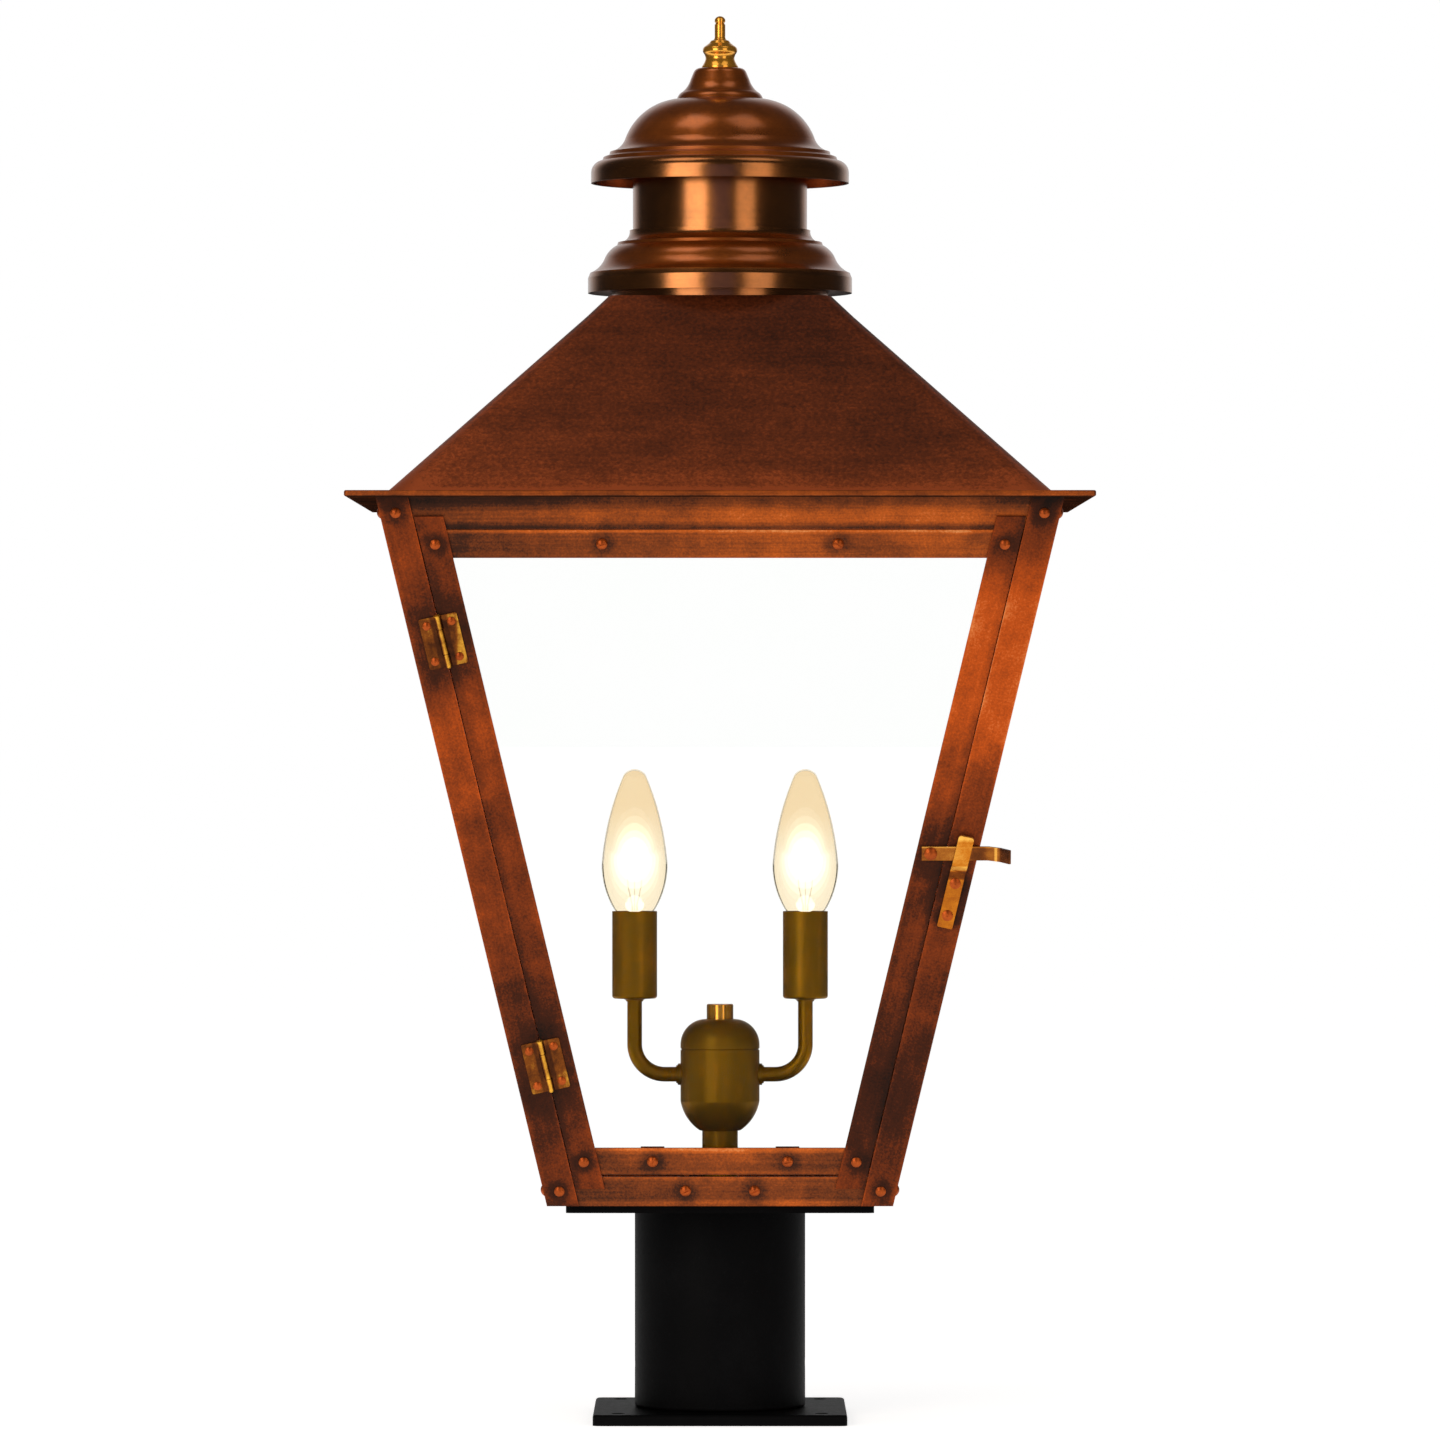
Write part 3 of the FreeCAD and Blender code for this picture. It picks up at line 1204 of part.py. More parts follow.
def arm(side):
    """A bent tube from the hub to a candle, with the collar that stops it at the hub."""
    hub_r = HUB_DIA / 2
    flats, nut_height = ARM_NUT
    path = arm_path(hub_r - HUB_WALL - nut_height - 1.5)
    low = COVER_LOW - CUP_HEIGHT
    cup_r = CUP_DIA / 2
    cup = turned((0, low), (cup_r - 1.2, low), (cup_r - 1.2, low + 0.6), (cup_r, low + 1.2),
                 (cup_r, COVER_LOW), (0, COVER_LOW))
    cup.translate(V(LAMP_X, 0, 0))
    collar = arm_seat(hub_r - 0.8, (ARM_COLLAR[0], ARM_COLLAR[1] + 0.8))
    collar = collar.cut(rod(hub_r, ARM_Z - ARM_COLLAR[0], ARM_Z + ARM_COLLAR[0]))
    step = arm_seat(hub_r + ARM_COLLAR[1], ARM_COLLAR_STEP)
    whole = fuse_all([swept(ARM_DIA / 2, path), collar, step, cup]).cut(swept(ARM_BORE_DIA / 2, path))
    return whole if side > 0 else turned_about_z(whole, 180)


def arm_locknuts():
    flats, height = ARM_NUT
    nut = hexagon(flats, 0, height, ARM_DIA / 2 + THREAD_GAP)
    nut.rotate(V(0, 0, 0), V(0, 1, 0), 90)
    inner_r = HUB_DIA / 2 - HUB_WALL
    seat = math.sqrt(inner_r ** 2 - flats ** 2 / 3) - 0.05
    nut.translate(V(seat - height, 0, ARM_Z))
    return [nut, turned_about_z(nut, 180)]


def socket(side):
    """A candle lampholder: threaded on the arm's end, with a cup for the bulb's cap."""
    x = side * LAMP_X
    floor = COVER_LOW + SOCKET_FLOOR
    body = rod(SOCKET_DIA / 2, COVER_LOW, SOCKET_TOP, x)
    body = body.cut(rod(BULB_BASE_DIA / 2 + BULB_RUN, floor, SOCKET_TOP + 1, x))
    return body.cut(rod(ARM_DIA / 2 + THREAD_GAP, COVER_LOW - 1, floor + 1, x))


def candle_cover(side):
    """A sleeve over the lampholder, its lower edge turned in under it."""
    outer_r = COVER_DIA / 2
    inner_r = outer_r - COVER_WALL
    hole_r = CUP_DIA / 2 + HOLE_CLEARANCE
    low = COVER_LOW
    body = turned((hole_r, low - COVER_WALL), (outer_r - 1.5, low - COVER_WALL),
                  (outer_r - 0.4, low - 0.3, outer_r, low + 0.8), (outer_r, COVER_TOP), (inner_r, COVER_TOP),
                  (inner_r, low + 0.8), (inner_r - 0.8, low), (hole_r, low))
    body.translate(V(side * LAMP_X, 0, 0))
    return body


def bulb_outline(inset, low):
    """Half section of the candle bulb from its neck up to its tip."""
    r = BULB_DIA / 2 - inset
    neck = BULB_NECK_DIA / 2 - inset
    tip = BULB_TIP - inset
    wide = BULB_WIDE
    return [(BULB_BASE_DIA / 2 - 0.4 - inset, low), (neck - 0.6, BULB_BASE_TOP + 4.0),
            (neck, COVER_TOP + 0.3), (r - 2.0, wide - 13.6, r, wide),
            (r - 4.0, wide + 25.0, r * 0.34, tip - 3.0), dome(r * 0.34, tip - 3.0, 3.0)]


def bulb_glass(side):
    low = BULB_SEAT
    outer = turned((0, low), *bulb_outline(0.0, low))
    inner = turned((0, low - 1), *bulb_outline(BULB_GLASS, low - 1))
    bulb = outer.cut(inner)
    bulb.translate(V(side * LAMP_X, 0, 0))
    return bulb


def bulb_base(side):
    """The screw cap: threaded shell, insulator and centre contact."""
    r = BULB_BASE_DIA / 2
    groove_r = r - BULB_THREAD_DEPTH
    low = BULB_BASE_LOW
    first = low + 3.2
    threads = []
    for i in range(BULB_THREADS):
        z = first + i * BULB_THREAD_PITCH
        threads.append((r, z + BULB_THREAD_PITCH / 2, groove_r, z + BULB_THREAD_PITCH))
    shell = turned((0, low), (2.2, low), (2.2, low + 0.8), (groove_r, low + 2.4), (groove_r, first),
                   *threads, (groove_r, BULB_BASE_TOP), (0, BULB_BASE_TOP))
    cap = shell.cut(turned((0, BULB_SEAT), *bulb_outline(0.0, BULB_SEAT)))
    cap.translate(V(side * LAMP_X, 0, 0))
    return cap


def filament(side):
    """Glass stem, two lead wires and a V-shaped coiled filament as one mounted piece."""
    low = BULB_SEAT
    r = FILAMENT_STEM_DIA / 2
    stem_top_z = low + FILAMENT_STEM
    stem = turned((0, low), (4.2, low), (4.2, low + 3.0), (r + 0.3, low + 7.0), (r, stem_top_z),
                  dome(r, stem_top_z, 1.4))
    pieces = [stem]
    for sx in (-1, 1):
        lead = V(sx * LEAD_SPREAD / LEAD_LENGTH, 0, 1)
        foot = V(sx * 1.1, 0, stem_top_z - 1)
        tip = foot + lead.normalize() * LEAD_LENGTH
        apex = V(sx * 0.3, 0, tip.z + COIL_LENGTH - 1)
        pieces.append(Part.makeCylinder(LEAD_DIA / 2, LEAD_LENGTH, foot, lead))
        pieces.append(Part.makeCylinder(COIL_DIA / 2, COIL_LENGTH, apex, tip - apex))
    whole = fuse_all(pieces)
    whole.translate(V(side * LAMP_X, 0, 0))
    return whole


# ---------------------------------------------------------------- write every node
def main():
    os.makedirs("parts", exist_ok=True)
    save("base_flange", base_flange())
    save("foot_ring", foot_ring())
    save("post_sleeve", post_sleeve())
    save("set_screws", [turned_about_z(set_screw(), turn) for turn in SET_SCREW_TURNS])
    save("top_plate", top_plate())
    save("floor_pan", floor_pan())

    left_post = corner_post(-1)
    right_post = corner_post(1)
    save("corner_post_front_left", left_post.cut(hinge_holes(-1)))
    save("corner_post_front_right", right_post.cut(keeper_rivet_holes()))
    save("corner_post_back_left", turned_about_z(right_post, 180))
    save("corner_post_back_right", turned_about_z(left_post, 180))
    save("header_rails", four_ways(header_rail()))
    save("sill_rails", four_ways(sill_rail()))
    save("frame_rivets", frame_rivets() + keeper_rivets())
    save("sill_screws", sill_screws())

    pane = side_pane()
    for name, turn in (("pane_right", 90), ("pane_back", 180), ("pane_left", 270)):
        save(name, turned_about_z(pane, turn))
    save("pane_clips", pane_clips())

    save("door_stile_left", stile(-1))
    save("door_stile_right", stile(1))
    save("door_rail_top", door_rail(TOP_RAIL_LOW, TOP_RAIL_TOP, TOP_SCREW_PITCH))
    save("door_rail_bottom", door_rail(BOTTOM_RAIL_LOW, BOTTOM_RAIL_TOP, BOTTOM_SCREW_PITCH))
    save("door_glass", door_glass())
    save("door_clips", door_clips())
    save("door_screws", door_screws())
    save("door_rivets", door_rivets())
    save("hinge_frame_leaves", hinge_frame_leaves())
    save("hinge_door_leaves", hinge_door_leaves())
    save("hinge_pins", hinge_pins())
    save("latch_strap", latch_strap())
    save("latch_pivot", latch_pivot())
    save("keeper", keeper())

    save("eave_plate", eave_plate())
    save("roof", roof())
    save("case_screws", floor_screws() + roof_screws())
    save("chimney_neck", chimney_neck())
    save("chimney_collar", chimney_collar())
    save("chimney_bridge", chimney_bridge())
    save("centre_rod", centre_rod())
    save("rod_nuts", rod_nuts())
    save("chimney_cap", chimney_cap())
    save("finial_seat", finial_seat())
    save("finial", finial())

    save("stem_pipe", stem_pipe())
    save("hub_body", hub_body())
    save("hub_cover", hub_cover())
    save("hub_nut", hub_nut())
    save("cluster_locknuts", stem_locknuts() + arm_locknuts())
    for side, word in ((-1, "left"), (1, "right")):
        save("arm_" + word, arm(side))
        save("socket_" + word, socket(side))
        save("candle_cover_" + word, candle_cover(side))
        save("bulb_glass_" + word, bulb_glass(side))
        save("bulb_base_" + word, bulb_base(side))
        save("filament_" + word, filament(side))


main()
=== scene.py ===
"""Finishes, bulbs, fastener detail and studio of the copper post top lantern."""
import math

import bpy
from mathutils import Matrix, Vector


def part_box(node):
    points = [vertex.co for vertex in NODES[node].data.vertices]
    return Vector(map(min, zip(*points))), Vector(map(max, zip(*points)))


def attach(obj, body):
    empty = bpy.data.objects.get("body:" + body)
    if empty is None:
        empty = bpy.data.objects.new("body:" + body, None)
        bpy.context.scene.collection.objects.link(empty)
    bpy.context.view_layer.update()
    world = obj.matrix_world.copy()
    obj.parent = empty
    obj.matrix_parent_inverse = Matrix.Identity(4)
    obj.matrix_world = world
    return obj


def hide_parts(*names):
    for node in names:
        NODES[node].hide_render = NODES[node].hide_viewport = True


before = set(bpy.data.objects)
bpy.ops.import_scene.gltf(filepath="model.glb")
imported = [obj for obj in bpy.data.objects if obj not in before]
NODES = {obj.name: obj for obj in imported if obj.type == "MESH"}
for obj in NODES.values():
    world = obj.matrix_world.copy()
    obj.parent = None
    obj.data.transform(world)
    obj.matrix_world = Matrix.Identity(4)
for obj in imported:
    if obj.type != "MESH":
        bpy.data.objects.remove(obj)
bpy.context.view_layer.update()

bl_info = {
    "name": "Post top lantern finishes",
    "version": (1, 0, 0),
    "blender": (4, 5, 0),
    "location": "3D View > Sidebar > Lantern",
    "description": "Aged copper, brass, black powder coat, glass and lit candle bulbs of a post top lantern",
    "category": "Object",
}

# ---- the lantern in millimetres, for patterns that follow its edges
BODY_LOW = 113.3
BODY_TOP = 471.3
HALF_LOW = 87.8
TAPER = 0.234637
SEAM = 16.5
RIVET_IN = 8.1
DOOR_RIVET_IN = 24.1
TOP_RIVET_Z = 463.3
LOW_RIVET_Z = 120.9
DOOR_TOP_Z = 447.7
DOOR_LOW_Z = 136.0
DOOR_RAIL_TOP = 143.4
HEADER_LOW, HEADER_TOP = 440.0, 472.0
HINGE_Z = (399.6, 185.3)
HINGE_RIVET, HINGE_HALF = 7.0, 11.9
LATCH_Z = 293.2
KEEPER_RIVETS = (16.0, 33.1)
EAVE_HALF = 187.2
ROOF_LOW, ROOF_TOP = 474.3, 574.0
BUFFED_BANDS = ((583.5, 5.5), (628.5, 17.5))
BULB_WIDEST, BULB_SHOULDER = 284.0, 318.0
FLOOR_NEAR, FLOOR_FAR = 900.0, 2200.0
# brightness of the lit floor, where white is 1
FLOOR_GLOW = 0.68

# ---- the insides of a bulb, in metres
LAMP_X = 0.0441
STEM_LOW = 0.2412
LEAD_LOW = 0.2590
COIL_LOW, COIL_TOP = 0.2788, 0.2990
COIL_OUT = 0.0037
GLOW_Z, BASE_GLOW_Z = 0.2880, 0.2650
# opacity and brightness of each shell of light, from the outermost in, and of the one over the stem
GLOWS = ((0.08, 1.2), (0.15, 1.3), (0.26, 1.5), (0.42, 1.8), (0.7, 2.2), (0.5, 1.8))
GLOW_SHARES = ((1.0, 1.0), (0.93, 0.84), (0.85, 0.7), (0.75, 0.56), (0.62, 0.43))


def linear(code):
    """The linear colour of an sRGB hex value."""
    parts = [int(code[i:i + 2], 16) / 255 for i in (1, 3, 5)]
    parts = [c / 12.92 if c <= 0.04045 else ((c + 0.055) / 1.055) ** 2.4 for c in parts]
    return (*parts, 1.0)


def paint(colour):
    """A socket's four numbers, from an sRGB hex value, a grey level or a colour property."""
    if isinstance(colour, str):
        return linear(colour)
    return (colour, colour, colour, 1.0) if isinstance(colour, float) else (*colour[:3], 1.0)


def half_width(z):
    """Half the body's width at a height, in millimetres."""
    return HALF_LOW + TAPER * (z - BODY_LOW)


# ------------------------------------------------------------------ settings
def colour_setting(name, description, code):
    """A colour property that starts at an sRGB hex value."""
    return bpy.props.FloatVectorProperty(
        name=name, description=description, subtype="COLOR", size=3, min=0, max=1, default=linear(code)[:3])


def length_setting(name, description, low, high, start):
    """A length in metres."""
    return bpy.props.FloatProperty(
        name=name, description=description, unit="LENGTH", min=low, max=high, default=start)


def light_setting(name, description, most, start):
    """A brightness from none to the most."""
    return bpy.props.FloatProperty(name=name, description=description, min=0, max=most, default=start)


class PatinaColours(bpy.types.PropertyGroup):
    """Colours of the copper, brass and black finishes."""
    copper_dark: colour_setting("Copper, darkest", "Liver-brown patina in seams and round rivets", "#20140E")
    copper_brown: colour_setting("Copper, brown", "Darker blotches of the oiled sheet", "#4A2415")
    copper_sheet: colour_setting("Copper, sheet", "Most of the frame's sheet", "#8C3E1A")
    copper_warm: colour_setting("Copper, warm", "Brushed places where the patina is thin", "#CA581E")
    copper_bare: colour_setting("Copper, bare", "Edges rubbed down to the metal", "#EE9050")
    roof_sheet: colour_setting("Roof, sheet", "Red-brown patina of the roof", "#6E3318")
    spun_metal: colour_setting("Spun copper", "Lacquered copper of the chimney", "#B45E1E")
    buffed_metal: colour_setting("Buffed copper", "Neck and upright rims of the chimney", "#B06C32")
    antique_brass: colour_setting("Antique brass", "Olive-brown brass of the lamp cluster", "#8C6204")
    black_coat: colour_setting("Black powder coat", "Foot, sleeve and top plate", "#0B0B0C")


class BulbSizes(bpy.types.PropertyGroup):
    """Sizes and colours of what is inside the candle bulbs."""
    coil_radius: length_setting("Coil radius", "Radius of the filament's coil", 0.0002, 0.002, 0.0006)
    coil_turns: bpy.props.IntProperty(
        name="Coil turns", description="Turns in each leg of the filament", min=4, max=60, default=22)
    lead_radius: length_setting("Lead radius", "Radius of the filament's wires", 0.0001, 0.001, 0.0003)
    glow_width: length_setting("Glow width", "Width of the light round the filament", 0.004, 0.03, 0.029)
    glow_height: length_setting("Glow height", "Height of the light round the filament", 0.004, 0.07, 0.054)
    # painted glow: the glass colour beside the filament is whitened as if by its light
    glow_whitened_tint: colour_setting("Bulb glass tint", "Cast of the bulb glass beside the filament", "#FDF5E4")
    tip_tint: colour_setting("Bulb tip tint", "Warmer cast towards the bulb's tip", "#F9EBD2")
    glow_colour: colour_setting("Glow colour", "Warm white of the light itself", "#FFF8E8")


class StudioSettings(bpy.types.PropertyGroup):
    """Camera, lamps and surroundings."""
    eye_height: length_setting("Eye height", "Height of the camera over the floor", 0, 3, 0.360)
    eye_distance: length_setting("Eye distance", "From the camera to the lantern's axis", 1, 12, 4.908)
    view_width: length_setting("View width", "Width seen at the lantern's axis", 0.2, 3, 0.7439)
    left_light: light_setting("Left softbox", "Brightness of its face", 20, 3.0)
    right_light: light_setting("Right softbox", "Brightness of its face", 20, 1.35)
    front_light: light_setting("Front panel", "The dim panel behind the camera", 20, 0.27)
    top_light: light_setting("Overhead lamps", "Brightness of their faces", 20, 1.5)
    soft_light: light_setting("Room light", "Even light from all round", 2, 0.4)
    dark_room: light_setting("Room in reflections", "The dark room that metal reflects", 1, 0.03)


# ------------------------------------------------------------------ materials
def plug(node, inputs):
    """Links or sets a node's inputs, by name or by number."""
    for name, value in (inputs.items() if isinstance(inputs, dict) else enumerate(inputs)):
        if isinstance(value, bpy.types.NodeSocket):
            node.id_data.links.new(value, node.inputs[name])
        else:
            node.inputs[name].default_value = value


def add(tree, kind, inputs=(), output=0, stops=None, **settings):
    """Adds a node with its settings and inputs, and gives back one of its outputs."""
    node = tree.nodes.new(kind)
    for name, value in settings.items():
        setattr(node, name, value)
    if stops:
        elements = node.color_ramp.elements
        while len(elements) < len(stops):
            elements.new(1.0)
        for element, (position, colour) in zip(elements, stops):
            element.position = position
            element.color = paint(colour)
    plug(node, inputs)
    return node.outputs[output] if len(node.outputs) else None


def new_finish(name):
    """A new material with its tree and shader, and the point on the piece in millimetres, whole and split."""
    material = bpy.data.materials.new(name)
    material.use_nodes = True
    tree = material.node_tree
    tree.nodes.clear()
    shader = add(tree, "ShaderNodeBsdfPrincipled").node
    add(tree, "ShaderNodeOutputMaterial", {"Surface": shader.outputs[0]})
    point = add(tree, "ShaderNodeTexCoord", output="Object")
    place = add(tree, "ShaderNodeMapping", {"Vector": point, "Scale": (1000, 1000, 1000)})
    return material, tree, shader, place, *add(tree, "ShaderNodeSeparateXYZ", (place,)).node.outputs


def noises(place, *sizes):
    """Noise from 0 to 1 about 0.5. One size in millimetres gives soft blotches; three give fine lines, drawn
    out as by brushing or turning."""
    tree, made = place.id_data, []
    for size in sizes:
        if isinstance(size, tuple):
            drawn = add(tree, "ShaderNodeMapping", {"Vector": place, "Scale": [1 / part for part in size]})
            inputs = {"Vector": drawn, "Scale": 1.0, "Detail": 3.0, "Roughness": 0.65}
        else:
            inputs = {"Vector": place, "Scale": 1 / size, "Detail": 3.0, "Roughness": 0.6, "Distortion": 0.4}
        made.append(add(tree, "ShaderNodeTexNoise", inputs))
    return made


def total(start, *parts):
    """A start value plus weighted patterns. Each part is a pattern, its weight and the value at which it
    changes nothing: 0.5, the middle of a noise, if none is given."""
    parts = [(*part, 0.5)[:3] for part in parts]
    level = start - sum(weight * rest for _, weight, rest in parts)
    for pattern, weight, _ in parts:
        level = add(pattern.id_data, "ShaderNodeMath", (pattern, weight, level), operation="MULTIPLY_ADD")
    return level


def fading(value, full, none):
    """1 where the value is at full, falling smoothly to 0 at none."""
    return add(value.id_data, "ShaderNodeMapRange", (value, full, none, 1.0, 0.0),
               interpolation_type="SMOOTHSTEP")


def profile(value, low, high, stops):
    """A level that follows a value from low to high; each stop is a share of the way and its level."""
    share = add(value.id_data, "ShaderNodeMapRange", (value, low, high, 0.0, 1.0))
    return add(value.id_data, "ShaderNodeValToRGB", (share,), stops=stops)


def mirrored(*values):
    """Values without their sign, so that a pattern is the same on both sides."""
    return [add(value.id_data, "ShaderNodeMath", (value,), operation="ABSOLUTE") for value in values]


def apart(one, other):
    """How far two values lie apart."""
    return mirrored(add(one.id_data, "ShaderNodeMath", (one, other), operation="SUBTRACT"))[0]


def nearest(spots, wobble):
    """Distance in millimetres to the nearest spot, made uneven by a noise; each is a point and its centre."""
    tree, least = wobble.id_data, None
    for spot in spots:
        away = add(tree, "ShaderNodeVectorMath", spot, "Value", operation="DISTANCE")
        least = add(tree, "ShaderNodeMath", (least, away), operation="MINIMUM") if least else away
    return add(tree, "ShaderNodeMath", (wobble, 6.0, least), operation="MULTIPLY_ADD")


def surface(shader, depth, *heights):
    """A relief of the given depth in millimetres, from one noise or the sum of two."""
    tree, height = shader.id_data, heights[0]
    if len(heights) > 1:
        height = add(tree, "ShaderNodeMath", heights, operation="ADD")
    plug(shader, {"Normal": add(tree, "ShaderNodeBump", {"Height": height, "Distance": depth / 1000})})


def frame_patterns(x, y, z):
    """Places that follow the tapered body: the distance from its corner edge, that distance with the height,
    and the distance from a side's middle with the height."""
    tree = z.id_data
    beside = add(tree, "ShaderNodeMath", mirrored(x, y), operation="MINIMUM")
    half = total(half_width(0.0), (z, TAPER, 0.0))
    edge = add(tree, "ShaderNodeMath", (half, beside), operation="SUBTRACT")
    return edge, *[add(tree, "ShaderNodeCombineXYZ", (part, z, 0.0)) for part in (edge, beside)]


def finish_copper(shader, level, colours, fine, lines, cast=(1.0, 1.0, 1.0)):
    """Oiled and brushed copper sheet, from liver brown to bare metal with a slight cast. Thin patina is shiny
    metal, thick patina is duller and rougher."""
    tree = shader.id_data
    words = ((0.0, "dark"), (0.28, "brown"), (0.52, "sheet"), (0.77, "warm"), (1.0, "bare"))
    stops = [(position, [part * share for part, share in zip(getattr(colours, "copper_" + word), cast)])
             for position, word in words]
    rough = add(tree, "ShaderNodeMapRange", (level, 0.1, 0.95, 0.55, 0.33))
    plug(shader, {
        "Base Color": add(tree, "ShaderNodeValToRGB", (level,), stops=stops),
        "Metallic": add(tree, "ShaderNodeMapRange", (level, 0.0, 0.7, 0.55, 0.95)),
        "Roughness": add(tree, "ShaderNodeMath", (fine, 0.14, rough), operation="MULTIPLY_ADD"),
        "Specular IOR Level": 0.2})
    surface(shader, 0.04, fine, lines)


def copper_posts(colours):
    """Corner posts and door stiles: copper sheet brushed lengthways, then darkened with liver of sulphur and
    rubbed back. The eye sees upright streaks, painted highlights along the edges, a black seam with painted
    shade beside it on the stile, dark rings at rivets and painted shade under the eave."""
    material, tree, shader, place, x, y, z = new_finish("oiled_copper_posts")
    edge, folded, _ = frame_patterns(x, y, z)
    along = add(tree, "ShaderNodeVectorMath", (place, (0.004, 0.003, 0.0)), "Value", operation="DOT_PRODUCT")
    lengthways = add(tree, "ShaderNodeCombineXYZ", (edge, along, z))
    streaks, bands = noises(lengthways, (1.1, 0.12, 70.0), (4.5, 0.3, 120.0))
    large, middle, fine = noises(place, 48.0, 15.0, 1.1)
    # bright lines along the corner, the seam and the stile's inner edge are painted highlights; the black
    # line is the seam joint, and the soft dark band beside it on the stile is painted shade
    edge_highlights_and_seam_shade = profile(edge, 0.0, 32.0, [
        (0.0, 0.75), (0.03, 0.5), (0.08, 0.35), (0.42, 0.35), (0.485, 0.42), (0.502, 0.75), (0.510, 0.0),
        (0.53, 0.0), (0.57, 0.12), (0.68, 0.35), (0.92, 0.38), (0.985, 0.62)])
    # the right side was rubbed back most, at hand height; both feet stayed dark
    right = profile(z, BODY_LOW, BODY_TOP, [
        (0.0, 0.46), (0.06, 0.38), (0.15, 0.24), (0.25, 0.25), (0.4, 0.4), (0.55, 0.46), (0.68, 0.66),
        (0.78, 0.77), (0.85, 0.68), (0.9, 0.5), (0.96, 0.36)])
    left = profile(z, BODY_LOW, BODY_TOP, [
        (0.0, 0.4), (0.06, 0.36), (0.15, 0.29), (0.25, 0.35), (0.33, 0.4), (0.45, 0.43), (0.65, 0.52),
        (0.72, 0.45), (0.78, 0.42), (0.9, 0.41), (0.96, 0.46)])
    which = add(tree, "ShaderNodeMath", (x, 0.0), operation="GREATER_THAN")
    rubbed = add(tree, "ShaderNodeMix", {0: which, 6: left, 7: right}, 2, data_type="RGBA")
    spots = [(folded, (inwards, height, 0)) for inwards, height in (
        (RIVET_IN, TOP_RIVET_Z), (RIVET_IN, LOW_RIVET_Z), (DOOR_RIVET_IN, DOOR_TOP_Z),
        (DOOR_RIVET_IN, DOOR_LOW_Z))]
    for drop in KEEPER_RIVETS:
        half = half_width(LATCH_Z - drop)
        spots.append((place, (half - RIVET_IN, -half, LATCH_Z - drop)))
    rings = fading(nearest(spots, middle), 5.5, 11.0)
    fittings = []
    for height in HINGE_Z:
        half = half_width(height)
        fittings += [(place, (SEAM - half, -half, height + step)) for step in (-HINGE_RIVET, HINGE_RIVET)]
    half = half_width(LATCH_Z)
    fittings += [(place, (half - inwards, -half, LATCH_Z - drop))
                 for inwards, drop in ((24.0, 0.0), (11.0, 22.0))]
    smoke = fading(nearest(fittings, middle), 12.0, 27.0)
    # painted shade under the eave: the tops of the posts and stiles darken towards it
    eave = fading(z, BODY_TOP + 2.0, BODY_TOP - 9.0)
    foot = fading(z, BODY_LOW - 3.0, BODY_LOW + 4.0)
    door = add(tree, "ShaderNodeMath", (edge, SEAM), operation="GREATER_THAN")
    level = total(0.0, (rubbed, 1.0, 0.0), (large, 0.55), (middle, 0.3), (fine, 0.42), (streaks, 0.1),
                  (bands, 0.16), (edge_highlights_and_seam_shade, 0.34, 0.35), (rings, -0.2, 0.0), (smoke, -0.14, 0.0),
                  (eave, -0.4, 0.0), (foot, -0.2, 0.0), (door, -0.03, 0.0))
    finish_copper(shader, level, colours, fine, streaks)
    return material


def copper_rails(colours):
    """Header, sill and door rails: the same sheet brushed crossways. The eye sees level streaks, painted
    highlights on the upper edges, a dark joint where rails meet with painted shade in the crease above it,
    painted shade under the eave, and darker ends under the posts."""
    material, tree, shader, place, x, y, z = new_finish("oiled_copper_rails")
    edge, _, centred = frame_patterns(x, y, z)
    streaks, bands, large, middle, fine = noises(
        place, (60.0, 60.0, 0.9), (110.0, 110.0, 3.5), 42.0, 13.0, 1.1)
    # the header profile paints a highlight on the door rail's top edge, shade in the crease above it and
    # shade under the eave; the low profile paints highlights on the upper edges of the sill and the bottom
    # door rail; the dark lines between them are the joints
    top = profile(z, HEADER_LOW, HEADER_TOP, [
        (0.0, 0.35), (0.03, 0.45), (0.25, 0.42), (0.4, 0.5), (0.44, 0.95), (0.475, 0.85), (0.485, 0.0),
        (0.52, 0.15), (0.6, 0.66), (0.74, 0.7), (0.88, 0.25), (1.0, -0.3)])
    low = profile(z, BODY_LOW, DOOR_RAIL_TOP, [
        (0.0, 0.55), (0.06, 0.7), (0.12, 0.4), (0.42, 0.4), (0.49, 0.8), (0.505, 0.1), (0.53, 0.05),
        (0.56, 0.6), (0.62, 0.4), (0.88, 0.45), (0.95, 0.95), (1.0, 0.95)])
    upper = add(tree, "ShaderNodeMath", (z, 300.0), operation="GREATER_THAN")
    edges = add(tree, "ShaderNodeMix", {0: upper, 6: low, 7: top}, 2, data_type="RGBA")
    spots = [(centred, (sideways, height, 0)) for sideways, height in (
        (59.0, DOOR_TOP_Z), (34.2, DOOR_LOW_Z), (17.5, LOW_RIVET_Z))]
    rings = fading(nearest(spots, middle), 5.5, 12.5)
    ends = fading(edge, 26.0, 60.0)
    leftward = fading(x, -130.0, 10.0)
    level = total(0.56, (large, 0.5), (middle, 0.28), (fine, 0.45), (streaks, 0.22), (bands, 0.22),
                  (edges, 0.5, 0.45), (rings, -0.15, 0.0), (ends, -0.1, 0.0), (leftward, -0.2, 0.0),
                  (upper, 0.07))
    finish_copper(shader, level, colours, fine, streaks, cast=(1.0, 1.28, 1.5))
    return material


def copper_inside(colours):
    """Floor pan, pane clips and door clips: mill sheet left in the patina bath without rubbing, so duller."""
    material, tree, shader, place, *_ = new_finish("unrubbed_copper_sheet")
    lines, large, middle, fine = noises(place, (25.0, 1.2, 1.2), 30.0, 9.0, 1.2)
    level = total(0.42, (large, 0.7), (middle, 0.5), (fine, 0.3), (lines, 0.4))
    finish_copper(shader, level, colours, fine, lines)
    return material


